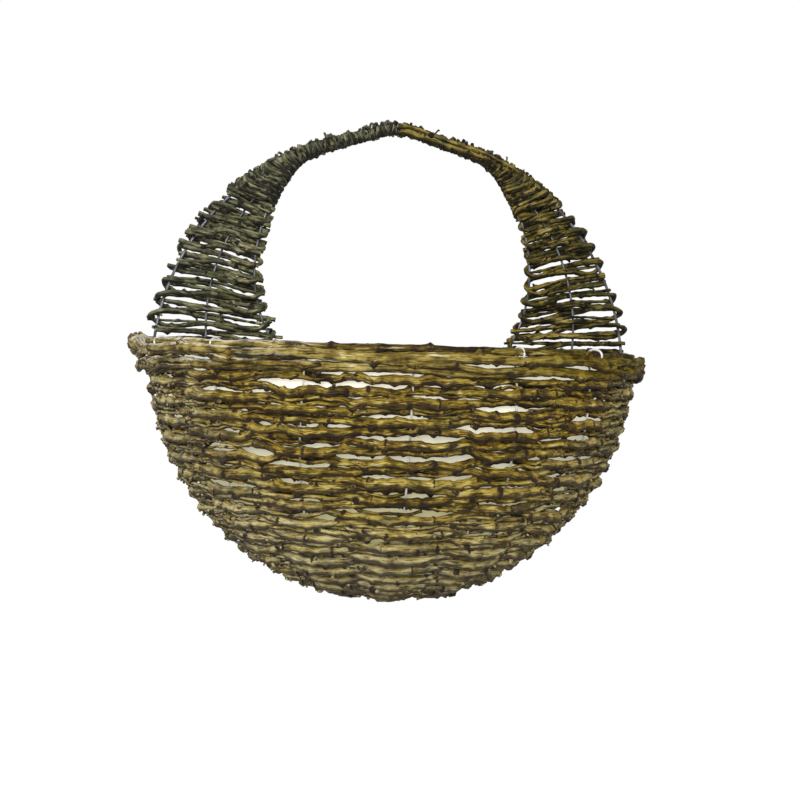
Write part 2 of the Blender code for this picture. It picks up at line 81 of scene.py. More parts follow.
class Arch:
    """One of the handle's wires: an arc over the mouth, from share 0 at its base to share 1 at the top.
    The two inner ones start further in, and are bound to the outer one over the handle's top."""

    def __init__(self, base_share=1, bound_gap=0, lean=0, top_shift=0):
        self.centre_height = (HANDLE_RISE**2 - HOOP_HALF_WIDTH**2) / (2 * HANDLE_RISE)
        self.radius = HANDLE_RISE - self.centre_height
        self.base_gap = (1 - base_share) * HOOP_HALF_WIDTH
        self.bound_gap, self.lean, self.top_shift = bound_gap, lean, top_shift

    def reach(self, angle):
        low = self.centre_height * math.cos(angle)
        arc = self.centre_height * math.sin(angle) + math.sqrt(self.radius**2 - low**2)
        if not self.base_gap:
            return arc
        even = (self.base_gap - self.bound_gap) * (1 - angle / (JOIN_SHARE * QUARTER))
        return arc - self.bound_gap - (even + math.sqrt(even**2 + JOIN_SOFTNESS**2)) / 2

    def point(self, share, side):
        angle = QUARTER * share + self.lean * math.sin(math.pi * min(1, share / JOIN_SHARE))
        place = self.reach(angle) * np.array((side * math.cos(angle), 0, math.sin(angle)))
        place[2] += PEAK_RISE * math.exp(-((place[0] / PEAK_HALF_WIDTH) ** 2))
        first, last = DRAWN_SHARES
        drawn = min(1, max(0, (share - first) / (last - first)))
        return RIM_CENTRE + place + self.top_shift * drawn * drawn * (3 - 2 * drawn) * BACK

    def outward(self, share, side):
        along = self.point(share + 0.001, side) - self.point(share - 0.001, side)
        return np.array((side * along[2], 0, -side * along[0])) / length_of(along)

    def along(self, share, side):
        return unit_of(self.point(share + 0.01, side) - self.point(share - 0.01, side))


def make_arches():
    apart = 2 * THIN_WIRE + WIRE_TOUCH
    under = math.sqrt((HOOP_WIRE + THIN_WIRE + WIRE_TOUCH) ** 2 - (apart / 2) ** 2)
    return (
        Arch(),
        Arch(MIDDLE_BASE_SHARE, under, ROW_LEAN / 2, -apart / 2),
        Arch(INNER_BASE_SHARE, under + 0.2 * THIN_WIRE, ROW_LEAN, apart / 2),
    )


def put_in_scene(name, data):
    made = bpy.data.objects.new(name, data)
    bpy.context.scene.collection.objects.link(made)
    return made


def ring_mesh(name, paths, resolution, closed=False):
    """A mesh of round tubes with 4 + 2 * resolution corners round each point of a path."""
    curve = bpy.data.curves.new(name, "CURVE")
    curve.dimensions = "3D"
    curve.bevel_depth = 1
    curve.bevel_resolution = resolution
    curve.use_fill_caps = False
    for points, radii in paths:
        spline = curve.splines.new("POLY")
        spline.points.add(len(points) - 1)
        spline.points.foreach_set("co", np.column_stack((points, np.ones(len(points)))).ravel())
        spline.points.foreach_set("radius", radii)
        spline.use_cyclic_u = closed
        spline.use_smooth = True
    mould = put_in_scene(name, curve)
    bpy.context.view_layer.update()
    mesh = bpy.data.meshes.new_from_object(mould.evaluated_get(bpy.context.evaluated_depsgraph_get()))
    bpy.data.objects.remove(mould)
    bpy.data.curves.remove(curve)
    mesh.name = name
    return mesh


def finish_piece(name, mesh, material, slot, *nodes):
    """Closes the cut ends, turns the faces out, and puts the piece on the frame."""
    work = bmesh.new()
    work.from_mesh(mesh)
    bmesh.ops.holes_fill(work, edges=[edge for edge in work.edges if edge.is_boundary])
    bmesh.ops.recalc_face_normals(work, faces=work.faces)
    for face in work.faces:
        face.smooth = True
    work.to_mesh(mesh)
    work.free()
    mesh.materials.clear()
    mesh.materials.append(material)
    piece = put_in_scene(name, mesh)
    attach(piece, "root")
    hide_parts(*nodes)
    return piece


class Recipe:
    """One value or colour in a material. Sums written with it become Math nodes."""

    def __init__(self, tree, socket=None):
        self.tree = tree
        self.socket = socket

    def node(self, kind, settings, inputs, output=0):
        made = self.tree.nodes.new(kind)
        stops = settings.pop("stops", ())
        for key, value in settings.items():
            setattr(made, key, value)
        for place, colour in stops[2:]:
            made.color_ramp.elements.new(place)
        for index, (place, colour) in enumerate(stops):
            made.color_ramp.elements[index].position = place
            made.color_ramp.elements[index].color = (*colour, 1)
        for key, value in inputs.items():
            if isinstance(value, Recipe):
                self.tree.links.new(value.socket, made.inputs[key])
            else:
                made.inputs[key].default_value = value
        return Recipe(self.tree, made.outputs[output])

    def sum(self, operation, first, second):
        return self.node("ShaderNodeMath", {"operation": operation}, {0: first, 1: second})

    def __add__(self, other):
        return self.sum("ADD", self, other)

    def __radd__(self, other):
        return self.sum("ADD", other, self)

    def __sub__(self, other):
        return self.sum("SUBTRACT", self, other)

    def __rsub__(self, other):
        return self.sum("SUBTRACT", other, self)

    def __mul__(self, other):
        return self.sum("MULTIPLY", self, other)

    def __rmul__(self, other):
        return self.sum("MULTIPLY", other, self)


def new_material(name):
    """A material, the start of its recipe, and its shader."""
    material = bpy.data.materials.new(name)
    material.use_nodes = True
    tree = material.node_tree
    return material, Recipe(tree), tree.nodes["Principled BSDF"]


def feed(shader, **sockets):
    """Links recipes to the shader's sockets, or sets plain values on them."""
    for name, value in sockets.items():
        socket = shader.inputs[name.replace("_", " ")]
        if isinstance(value, Recipe):
            value.tree.links.new(value.socket, socket)
        else:
            socket.default_value = value


def rise(recipe, value, low, high):
    """0 under low, 1 over high, and a soft step between."""
    return recipe.node(
        "ShaderNodeMapRange",
        {"interpolation_type": "SMOOTHSTEP"},
        {"Value": value, "From Min": low, "From Max": high},
    )


def blend(recipe, share, first, second):
    """From the first colour to the second as share goes from 0 to 1."""
    return recipe.node("ShaderNodeMix", {"data_type": "RGBA"}, {0: share, 6: first, 7: second}, 2)


def zinc(name, pale, stained, stained_from, metallic):
    """Galvanised wire with a fine spangle, and stains where bark and moisture have lain on it."""
    material, recipe, shader = new_material(name)
    place = recipe.node("ShaderNodeTexCoord", {}, {}, "Object")
    patches = recipe.node("ShaderNodeTexNoise", {}, {"Vector": place, "Scale": 90, "Detail": 4}, "Fac")
    grains = recipe.node("ShaderNodeTexVoronoi", {}, {"Vector": place, "Scale": 700}, "Distance")
    stain = rise(recipe, patches, stained_from, stained_from + 0.2)
    colour = blend(recipe, stain, blend(recipe, grains * 0.6, pale, stained), stained)
    bump = recipe.node(
        "ShaderNodeBump", {}, {"Strength": 0.35, "Distance": 0.0001, "Height": patches + grains}
    )
    feed(shader, Base_Color=colour, Roughness=0.36 + stain * 0.25, Metallic=metallic, Normal=bump)
    return material


# Painted shade: the hoop and handle wires are a much deeper blue-grey than the ribs' zinc; the patches on
# them are stains.
stained_and_shaded_zinc = zinc("stained_and_shaded_zinc", (0.17, 0.18, 0.20, 1), (0.055, 0.058, 0.068, 1), 0.42, 0.4)
arches = make_arches()
lower_half = [
    RIM_CENTRE - np.array((HOOP_HALF_WIDTH * math.cos(fall), 0, BOWL_DROP * math.sin(fall)))
    for fall in np.linspace(0, math.pi, 160, endpoint=False)
]
rising = [arches[0].point(share, 1) for share in np.linspace(0, 1, 110, endpoint=False)]
falling = [arches[0].point(share, -1) for share in np.linspace(1, 0, 110, endpoint=False)]
ring = np.array(lower_half + rising + falling)
hoop_mesh = ring_mesh("hoop_ring", [(ring, np.full(len(ring), HOOP_WIRE * SEEN_SHARE))], 4, closed=True)
finish_piece("hoop_ring", hoop_mesh, stained_and_shaded_zinc, "galvanised_wire", "back_hoop")

# The rim wires: a half-round wire at the mouth and a straight one across the back, of thinner wire
# welded to the hoop, with the border's twigs against the front one. Their deep purple-grey is painted shade.

BOWL_DEPTH = 0.180


def bowl_points(azimuth, level, offset):
    """Points of the bowl's middle surface, level metres below the mouth along the hoop, moved out by
    offset. Azimuth 0 is the middle of the front."""
    azimuth, level, offset = np.broadcast_arrays(azimuth, level, offset)
    fall = level / HOOP_HALF_WIDTH
    points = np.stack(
        (
            HOOP_HALF_WIDTH * np.sin(azimuth) * np.cos(fall),
            -BOWL_DEPTH * np.cos(azimuth) * np.cos(fall),
            -BOWL_DROP * np.sin(fall),
        ),
        axis=-1,
    )
    normals = unit_of(points / np.array((HOOP_HALF_WIDTH, BOWL_DEPTH, BOWL_DROP)) ** 2)
    return RIM_CENTRE + points + offset[..., None] * normals, normals


def wire(name, path, thickness, material, *nodes):
    rings = [(path, np.full(len(path), thickness * SEEN_SHARE))]
    return finish_piece(name, ring_mesh(name, rings, 4), material, "galvanised_wire", *nodes)


# Painted shade: both rim wires are coloured a deep purple-grey, besides their stain patches.
shaded_rim_zinc = zinc("shaded_rim_zinc", (0.075, 0.062, 0.070, 1), (0.028, 0.020, 0.022, 1), 0.36, 0.15)
rim_path = bowl_points(np.linspace(-QUARTER, QUARTER, 220), 0, 0)[0]
wire("rim_wire_front", rim_path[2:-2], THIN_WIRE, shaded_rim_zinc, "front_rim_wire")
rim_bar = np.outer(np.linspace(-HOOP_HALF_WIDTH, HOOP_HALF_WIDTH, 60), (1, 0, 0))
rim_bar = rim_bar + RIM_CENTRE + (HOOP_WIRE + WIRE_TOUCH + THIN_WIRE) * BACK
wire("rim_bar_back", rim_bar, THIN_WIRE, shaded_rim_zinc, "back_rim_wire")

# The handle's two other wires: bent in one length each, from the hoop up the back, over the mouth
# and down again, with a small curl round the hoop at each foot.

UPRIGHT_LIFT = 0.014
BORDER_LEVELS = (0.0045, 0.0118)
BORDER_RADII = (0.0036, 0.0034)
VINE_COUNT = 18
ROW_GAP_SHARE = 0.14
BOTTOM_HOLE = 0.0115
RIB_COUNT = 7


def even_path(points, step, *channels):
    """The same path with evenly spaced points, and each channel read at them."""
    run = np.concatenate(((0,), np.cumsum(np.linalg.norm(np.diff(points, axis=0), axis=1))))
    at = np.linspace(0, run[-1], max(4, round(run[-1] / step)) + 1)
    path = np.column_stack([np.interp(at, run, points[:, axis]) for axis in range(3)])
    return (path, *[np.interp(at, run, channel) for channel in channels])


def smooth_path(points, step):
    """A smooth curve through the points, evenly spaced."""
    points = np.asarray(points, float)
    span = np.maximum(length_of(np.diff(points, axis=0)), 1e-6)
    pace = np.diff(points, axis=0) / span
    inside = (pace[1:] * span[:-1] + pace[:-1] * span[1:]) / (span[1:] + span[:-1])
    tangents = np.vstack((pace[:1], inside, pace[-1:]))
    fine = []
    for index in range(len(span)):
        s = np.linspace(0, 1, 13)[:-1, None]
        fine.append(
            (2 * s**3 - 3 * s**2 + 1) * points[index]
            + (s**3 - 2 * s**2 + s) * span[index] * tangents[index]
            + (3 * s**2 - 2 * s**3) * points[index + 1]
            + (s**3 - s**2) * span[index] * tangents[index + 1]
        )
    return even_path(np.vstack(fine + [points[-1:]]), step)[0]


def plan_rows():
    """The level of each row on the bare hoop, and the levels where wires meet the hoop."""
    feet_count = (RIB_COUNT - 1) // 2
    joint = 2 * (THIN_WIRE + WIRE_TOUCH) + WIRE_TOUCH
    top = BORDER_LEVELS[1] + BORDER_RADII[1]
    room = HOOP_HALF_WIDTH * QUARTER - BOTTOM_HOLE - top - (feet_count + 2) * joint
    pitch = room / (2 * VINE_COUNT - (1 - ROW_GAP_SHARE) / 2 - (feet_count + 2) * ROW_GAP_SHARE)
    gap = pitch * ROW_GAP_SHARE
    level = top + gap + (pitch - gap) / 2
    shares = (MIDDLE_BASE_SHARE, INNER_BASE_SHARE)
    uprights = [round((HOOP_HALF_WIDTH * math.acos(share) - level) / (2 * pitch)) for share in shares]
    feet = [VINE_COUNT - feet_count + step for step in range(feet_count)]
    levels, joints = [], {}
    for index in range(VINE_COUNT):
        if index in uprights + feet:
            joints[index] = level - (pitch - joint + gap) / 2
            level += joint - gap
        levels += [level, level + pitch]
        level += 2 * pitch
    meets = [[joints[index] for index in group] for group in (uprights, feet)]
    return np.array(levels), *meets, (pitch - gap) / 2


def curl(centre, start, axis, turns):
    """A curl of wire round a point: from start round the axis."""
    out = start - centre
    across = np.cross(axis, out)
    angles = np.linspace(0, turns * 2 * math.pi, round(turns * 22))
    return [
        centre + math.cos(angle) * out + math.sin(angle) * across + axis * 0.0004 * angle for angle in angles
    ]


row_levels, upright_levels, foot_levels, VINE_RADIUS = plan_rows()
for word, arch, level in zip(("middle", "inner"), arches[1:], upright_levels):
    feet = []
    for side in (1, -1):
        hoop, inward = bowl_points(side * QUARTER, level, 0.0)
        foot = curl(hoop, hoop - (HOOP_WIRE + THIN_WIRE) * inward, np.cross(BACK, inward), 0.6)
        feet.append(foot[::-1] + [hoop - UPRIGHT_LIFT * inward])
    shares = np.linspace(0, 1, 90)
    path = feet[0] + [arch.point(share, 1) for share in shares]
    path += [arch.point(share, -1) for share in shares[-2::-1]] + feet[1][::-1]
    wire(f"handle_wire_{word}", smooth_path(path, 0.0015), THIN_WIRE, stained_and_shaded_zinc, f"handle_{word}_wire")

# The ribs: seven bright wires, each closed in an eye round the front rim wire, bent the short way over
# the bowl and curled round the hoop at its foot. Four of the eyes are wide, to hold a thin twig as well.
# The middle rib meets the hoop's bottom.

RIB_WIRE = 0.0011
RIB_SPACING = math.pi / (RIB_COUNT + 1)
RIB_SETTLE = 0.014
WIDE_EYE = (0.0057, 0.0042, 0.0037)
SMALL_EYES = (3, 4, 7)


class Rib:
    def __init__(self, number):
        place = number - (RIB_COUNT + 1) // 2
        self.side = (place > 0) - (place < 0)
        self.azimuth = place * RIB_SPACING
        self.foot_level = foot_levels[len(foot_levels) - abs(place)] if place else HOOP_HALF_WIDTH * QUARTER
        self.top = np.array((math.sin(self.azimuth), -math.cos(self.azimuth), 0))
        fall = self.foot_level / HOOP_HALF_WIDTH
        self.foot = np.array((self.side * math.cos(fall), 0, -math.sin(fall)))
        self.sweep = math.acos(float(self.top @ self.foot))

    def place(self, turned):
        way = self.top * math.sin(self.sweep - turned) + self.foot * math.sin(turned)
        way = way / math.sin(self.sweep)
        return math.atan2(way[0], -way[1]), HOOP_HALF_WIDTH * math.asin(min(1, -way[2]))

    def azimuth_at(self, level):
        """Where the rib crosses a row, or None below its foot."""
        climb = math.sin(level / HOOP_HALF_WIDTH) * math.sin(self.sweep) / -self.foot[2]
        if level >= self.foot_level or climb >= math.sin(min(self.sweep, QUARTER)):
            return None
        return self.place(math.asin(climb))[0]


ribs = [Rib(number) for number in range(1, RIB_COUNT + 1)]
bright_zinc = zinc("bright_zinc", (0.76, 0.76, 0.73, 1), (0.42, 0.42, 0.40, 1), 0.50, 0.2)
for number, rib in enumerate(ribs, 1):
    rim, out = bowl_points(rib.azimuth, 0.0, 0.0)
    eye = THIN_WIRE + RIB_WIRE + 0.0006
    wide, high, ahead = (eye, eye, 0) if number in SMALL_EYES else WIDE_EYE
    along = np.cross(out, UP)
    loop = [
        rim + (ahead + wide * math.cos(angle)) * out + (0.2 * ahead + high * math.sin(angle)) * UP
        + along * 0.0012 * (angle / math.pi - 0.9)
        for angle in np.radians(np.linspace(-150, 190, 26))
    ]
    first, last = RIB_SETTLE / HOOP_HALF_WIDTH, rib.sweep - (HOOP_WIRE + RIB_WIRE) / HOOP_HALF_WIDTH
    run = [bowl_points(*rib.place(turned), 0.0)[0] for turned in np.linspace(first, last, 50)]
    hoop = bowl_points(rib.side * QUARTER, rib.foot_level, 0.0)[0]
    foot = curl(hoop, run[-1], unit_of(np.cross(BACK, hoop - RIM_CENTRE)), 0.7)
    path = smooth_path(loop + run + foot[1:], 0.001)
    wire(f"rib_wire_{number}", path, RIB_WIRE, bright_zinc, f"rib_{number}")

# The front rows: knobbly vines, each two rows long, woven green and dried on the frame. A vine
# passes outside one rib and inside the next, turns round the hoop, comes back a row lower, and is
# cut off behind the hoop.

VINE_STEP = 0.0012
VINE_SIDES = 10
KNOT_WIDTH = 0.0022
SAME_SIDE = 0.0150
STUB_LENGTHS = (0.004, 0.0085)
FINE_FROM = 10
AZIMUTH_POINTS = 481
SHORT_POINTS = 24
RELAX_ROUNDS = 80
TANGLE_COUNT = 10
SPUR_COUNT = 30
CAP_RINGS = ((0.00015, 0.93, 0.6), (0.0003, 0.6, 1.0), (0.00035, 0.06, 1.0))


def row_radius(level):
    return HOOP_HALF_WIDTH * math.cos(level / HOOP_HALF_WIDTH)


def crossings_of(level, vine_level):
    """Azimuths where a row crosses the ribs and the hoop, each with its turn in the weave."""
    right = [rib for rib in ribs if rib.side > 0 and rib.azimuth_at(level) is not None]
    right.sort(key=lambda rib: rib.azimuth_at(level))
    turn, last, half = 0, 0.0, []
    for rib in right + [None]:
        at_vine = rib.azimuth_at(vine_level) if rib else QUARTER
        if (at_vine - last) * row_radius(vine_level) > SAME_SIDE:
            turn += 1
        half.append((rib.azimuth_at(level) if rib else QUARTER, turn))
        last = at_vine
    return [(-azimuth, turn) for azimuth, turn in reversed(half)] + [(0.0, 0)] + half


def bumps(at, places, width):
    """A soft bump of height 1 at each place."""
    return np.exp(-(((at[:, None] - places[None, :]) / width) ** 2)).max(axis=1) if len(places) else 0 * at


def slow_noise(rng, at, spacing, lanes=1):
    """Smooth random curves between -1 and 1 that change over about one spacing, one in each lane."""
    knots = np.arange(at.min() - spacing, at.max() + 2 * spacing, spacing)
    heights = rng.uniform(-1, 1, (len(knots), lanes))
    share = (at - knots[0]) / spacing
    index = share.astype(int)
    share = (share - index)[:, None]
    share = share * share * (3 - 2 * share)
    curves = heights[index] * (1 - share) + heights[index + 1] * share
    return curves if lanes > 1 else curves[:, 0]


def even_places(rng, length, spacing):
    """Places along a length, unevenly spaced within the range."""
    steps = rng.uniform(*spacing, int(length / spacing[0]) + 2)
    places = np.cumsum(steps) - steps[0] * rng.uniform()
    return places[(places > 0) & (places < length)]


class Stem:
    """A length of vine: its path, its thickness, its knots, and the side that its buds lean to."""

    def __init__(self, points, radii, knots, lean, shade, cut=0.7):
        self.points, self.radii, self.knots = points, radii, knots
        self.lean = np.broadcast_to(lean, points.shape)
        self.shade, self.cut = shade, cut

    def closed(self):
        """The stem with rings that round off both cut ends."""
        ends = []
        for end, before in ((0, 1), (-1, -2)):
            way = unit_of(self.points[end] - self.points[before])
            rings = [
                (self.points[end] + way * far, self.radii[end] * share, cut * self.cut)
                for far, share, cut in CAP_RINGS
            ]
            ends.append(rings)
        first, last = ends[0][::-1], ends[1]
        points = np.vstack([[item[0] for item in first], self.points, [item[0] for item in last]])
        radii = np.concatenate([[item[1] for item in first], self.radii, [item[1] for item in last]])
        cuts = np.concatenate([[item[2] for item in first], 0 * self.radii, [item[2] for item in last]])
        return points, radii, cuts, np.pad(self.knots, len(CAP_RINGS), mode="edge")

    def buds(self, rng, spur_share):
        """A bud at each of the knots, on alternate sides, and now and then a short spur that was cut off."""
        peaks = [
            index
            for index in range(2, len(self.knots) - 2)
            if self.knots[index] > 0.5 and self.knots[index] == self.knots[index - 2 : index + 3].max()
        ]
        buds, spurs = [], []
        for count, index in enumerate(peaks):
            along = unit_of(self.points[index + 1] - self.points[index - 1])
            lean = self.lean[index] - along * (self.lean[index] @ along)
            across = np.cross(along, lean)
            angle = math.radians(rng.uniform(-15, 80))
            way = math.cos(angle) * across / length_of(across) * (-1) ** count
            way = way + math.sin(angle) * lean / length_of(lean)
            thickness = self.radii[index]
            height, stain = rng.uniform(0.3, 1.0) * thickness, rng.uniform(0.3, 1.3)
            buds.append((index + len(CAP_RINGS), way, height, stain, rng.uniform(0.0010, 0.0028)))
            if rng.uniform() < spur_share:
                ahead = unit_of(way + along * rng.uniform(0.3, 1.2)) * thickness * rng.uniform(1.5, 2.3)
                path = self.points[index] + ahead * np.linspace(0, 1, 6)[:, None]
                radii = thickness * np.linspace(0.5, 0.36, 6)
                spurs.append(Stem(path, radii, np.linspace(0.4, 1, 6), way, rng.uniform(-1.5, 0.3), 0.2))
        return buds, spurs


def lay(points, normals, thickness, knots, shade, cut=0.7):
    """A stem of even step along points of the bowl, with its buds on the outside."""
    path, radii, knots, *lean = even_path(points, VINE_STEP, thickness, knots, *normals.T)
    return Stem(path, radii, knots, np.column_stack(lean), shade, cut)


def spike(start, reach, count, thickness, lean, shade, cut=0.2, knots=(0.3, 1)):
    """A short straight stem from start, as far as reach goes."""
    path = start + reach * np.linspace(0, 1, count)[:, None]
    return Stem(path, np.linspace(*thickness, count), np.linspace(*knots, count), lean, shade, cut)


def grow(name, stems, rng, material, slot, nodes, spur_share=0.2, rough=1.0):
    """Turns stems into one piece of gnarled vine, with ridges, warts, swollen knots and buds."""
    pairs = []
    for stem in stems:
        buds, spurs = stem.buds(rng, spur_share)
        pairs += [(stem, buds)] + [(spur, []) for spur in spurs]
    mesh = ring_mesh(name, [stem.closed()[:2] for stem, _ in pairs], (VINE_SIDES - 4) // 2)
    corners = np.empty(len(mesh.vertices) * 3)
    mesh.vertices.foreach_get("co", corners)
    corners = corners.reshape(-1, VINE_SIDES, 3)
    angles = np.arange(VINE_SIDES) * 2 * math.pi / VINE_SIDES
    table = corners.shape[:2]
    grain, knot_and_groove_shade, shade, cut, upper = (np.zeros((*table, depth)) for depth in (3, 1, 1, 1, 1))
    start = 0
    for stem, buds in pairs:
        points, radii, cuts, knots = stem.closed()
        rings = slice(start, start + len(points))
        start += len(points)
        spokes = corners[rings] - points[:, None]
        unit = spokes / np.maximum(length_of(spokes), 1e-9)
        run = np.concatenate(((0,), np.cumsum(np.linalg.norm(np.diff(points, axis=0), axis=1))))
        ripple = np.zeros((len(points), VINE_SIDES))
        for waves, height in ((2, 0.08), (3, 0.06), (4, 0.03)):
            turn = rng.uniform(0, 2 * math.pi) + run * rng.uniform(-80, 80)
            ripple += height * np.cos(waves * angles[None, :] + turn[:, None])
        warts = slow_noise(rng, run, 0.0032, VINE_SIDES)
        ripple += 0.09 * (warts + 0.5 * np.roll(warts, 1, axis=1) + 0.5 * np.roll(warts, -1, axis=1))
        swell = 0.16 * knots[:, None] + ripple * rough
        # Painted shade: the sunken grooves of the ripple are darkened; below, the knots get real stains on
        # the side their bud faces.
        knot_stain_and_groove_shade = -0.4 * ripple * rough
        added = np.zeros((len(points), VINE_SIDES))
        for index, way, height, stain, width in buds:
            facing = np.clip((unit * way).sum(axis=2), 0, 1)
            apart = (run - run[index])[:, None]
            added += height * np.exp(-((apart / 0.0019) ** 2)) * facing**2
            knot_stain_and_groove_shade += stain * np.exp(-((apart / width) ** 2)) * (0.05 + 0.95 * facing**1.3)
        live = (1 - np.minimum(1, cuts * 1.2))[:, None]
        size = radii[:, None] * (1 + swell * live) + added * live
        corners[rings] = points[:, None] + unit * size[..., None]
        grain[rings, :, 0] = (run + rng.uniform(0, 40))[:, None]
        grain[rings, :, 1] = np.cos(angles) * radii[:, None]
        grain[rings, :, 2] = np.sin(angles) * radii[:, None]
        knot_and_groove_shade[rings, :, 0] = np.clip(knot_stain_and_groove_shade, 0, 1)
        shade[rings, :, 0] = (stem.shade + 0.35 * slow_noise(rng, run, 0.03))[:, None]
        # How far each face turns up: the bark paints shade on faces turned down and highlight on tops from
        # it.
        upper[rings, :, 0] = unit[:, :, 2]
        cut[rings, :, 0] = cuts[:, None]
    mesh.vertices.foreach_set("co", corners.ravel())
    mesh.attributes.new("grain", "FLOAT_VECTOR", "POINT").data.foreach_set("vector", grain.ravel())
    for label, values in (("knot_and_groove_shade", knot_and_groove_shade), ("shade", shade), ("cut", cut), ("upper", upper)):
        mesh.attributes.new(label, "FLOAT", "POINT").data.foreach_set("value", values.ravel())
    return finish_piece(name, mesh, material, slot, *nodes)


def bark(
    name, tones, straw, straw_from, knot_and_shade_colour, weathered, right_tint=(1, 1, 1, 1), pale=0.0, fine=1.0,
    moss=(0.048, 0.050, 0.016, 1), under=0.30,
):
    """Vine bark: lengthwise streaks in the four tones, flakes peeled to straw, and stains at the knots.
    Faces turned down and the grooves get painted shade. Away from the middle of the front it has
    weathered, the right side has kept more colour, and on the left the tops get a painted highlight."""
    material, recipe, shader = new_material(name)
    grain = recipe.node("ShaderNodeAttribute", {"attribute_name": "grain"}, {}, "Vector")
    knot_and_groove_shade, shade, cut, upper = (
        recipe.node("ShaderNodeAttribute", {"attribute_name": label}, {}, "Fac")
        for label in ("knot_and_groove_shade", "shade", "cut", "upper")
    )
    place = recipe.node("ShaderNodeTexCoord", {}, {}, "Object")

    def noise(vector, stretch, scale, detail):
        ways = {0: vector, 1: (1, stretch, stretch)}
        stretched = recipe.node("ShaderNodeVectorMath", {"operation": "MULTIPLY"}, ways)
        inputs = {"Vector": stretched, "Scale": scale, "Detail": detail, "Roughness": 0.6}
        return recipe.node("ShaderNodeTexNoise", {}, inputs, "Fac")

    streaks = noise(grain, 9, 110 * fine, 5)
    flakes = noise(grain, 4, 60 * fine, 3)
    specks = noise(grain, 2, 500, 3)
    seams = noise(grain, 13, 90 * fine, 4)
    patches = noise(place, 1, 30, 3)
    smudges = noise(place, 1, 100, 2)
    mossy = rise(recipe, noise(place, 1, 42, 3), 0.55, 0.66)
    tone = rise(recipe, streaks, 0.38, 0.62) * 0.36 + rise(recipe, flakes, 0.40, 0.60) * 0.24
    tone = tone + rise(recipe, patches, 0.38, 0.62) * 0.18 + rise(recipe, smudges, 0.40, 0.60) * 0.28
    tone = tone + shade * 0.26 - 0.08
    stops = list(zip((0.08, 0.34, 0.60, 0.90), tones))
    colour = recipe.node("ShaderNodeValToRGB", {"stops": stops}, {"Fac": tone}, "Color")
    colour = blend(recipe, mossy * 0.55, colour, moss)
    peeled = rise(recipe, flakes + (patches - 0.5) * 0.5, straw_from, straw_from + 0.1)
    colour = blend(recipe, peeled * rise(recipe, streaks, 0.44, 0.58), colour, straw)
    flat = recipe.node("ShaderNodeVectorMath", {"operation": "MULTIPLY"}, {0: place, 1: (0.97, 0, 1.15)})
    centre = {0: flat, 1: tuple(1.15 * RIM_CENTRE)}
    out = recipe.node("ShaderNodeVectorMath", {"operation": "DISTANCE"}, centre, "Value")
    worn = rise(recipe, out + (patches - 0.5) * 0.08, 0.118, 0.190) * rise(recipe, flakes, 0.3, 0.6)
    colour = blend(recipe, worn * weathered[1], colour, weathered[0])
    across = recipe.node("ShaderNodeSeparateXYZ", {}, {0: place}, "X")
    # Painted highlight: faces turned up on the left side are lightened towards cream, broken up by the bark's
    # noise; pale sets how strong.
    top_highlight_mask = rise(recipe, upper + streaks + flakes + smudges, 1.85, 2.35)
    painted_top_highlight = rise(recipe, 0 - across, 0.05, 0.13) * top_highlight_mask
    colour = blend(recipe, painted_top_highlight * pale, colour, (0.84, 0.77, 0.62, 1))
    tinted = {0: rise(recipe, across, 0.0, 0.16), 6: colour, 7: right_tint}
    colour = recipe.node("ShaderNodeMix", {"data_type": "RGBA", "blend_type": "MULTIPLY"}, tinted, 2)
    cracked = rise(recipe, seams, 0.56, 0.66)
    colour = blend(recipe, cracked * 0.9, colour, (*tones[0], 1))
    # Painted shade: faces turned down are darkened towards the colour of the knots; under sets where it ends.
    painted_underside_shade = 1 - rise(recipe, upper + (streaks - 0.5) * 1.2 + (smudges - 0.5) * 1.2, under - 0.85, under)
    colour = blend(recipe, painted_underside_shade * 0.88, colour, knot_and_shade_colour)
    # Stains at the knots together with painted shade in the grooves, read from one attribute.
    knot_and_groove_mask = rise(recipe, knot_and_groove_shade + (specks - 0.5) * 1.2 + (flakes - 0.5) * 1.2, 0.30, 0.66)
    colour = blend(recipe, knot_and_groove_mask * 0.94, colour, knot_and_shade_colour)
    wood = blend(recipe, specks, (0.36, 0.28, 0.16, 1), (0.60, 0.52, 0.36, 1))
    colour = blend(recipe, cut, colour, wood)
    height = streaks * 1.3 + flakes * 0.8 + specks * 0.2 - cracked * 0.6
    bump = recipe.node("ShaderNodeBump", {}, {"Strength": 0.9, "Distance": 0.0008, "Height": height})
    feed(shader, Base_Color=colour, Roughness=0.9 - streaks * 0.3, Specular_IOR_Level=0.12, Normal=bump)
    return material


OPENINGS = (
    (1, -0.46, 0.016, 0.0062),
    (1, -0.31, 0.008, 0.0040),
    (1, -0.21, 0.008, 0.0036),
    (1, -0.07, 0.013, 0.0055),
    (1, 0.07, 0.006, 0.0036),
    (5, -0.57, 0.012, 0.0028),
    (5, 0.28, 0.022, 0.0035),
    (6, -0.10, 0.008, 0.0035),
    (6, 0.085, 0.017, 0.0052),
    (6, 0.32, 0.008, 0.0040),
    (8, -0.61, 0.015, 0.0060),
    (8, -0.27, 0.010, 0.0042),
    (8, 0.20, 0.014, 0.0048),
    (8, 0.56, 0.010, 0.0062),
    (10, 0.24, 0.012, 0.0040),
    (10, 0.40, 0.011, 0.0044),
)
rng = np.random.default_rng(41)
azimuths = np.linspace(-QUARTER, QUARTER, AZIMUTH_POINTS)
level_grid = np.repeat(row_levels[:, None], len(azimuths), axis=1)
offset_grid, radius_grid, knot_grid, lens_grid = (np.zeros_like(level_grid) for _ in range(4))
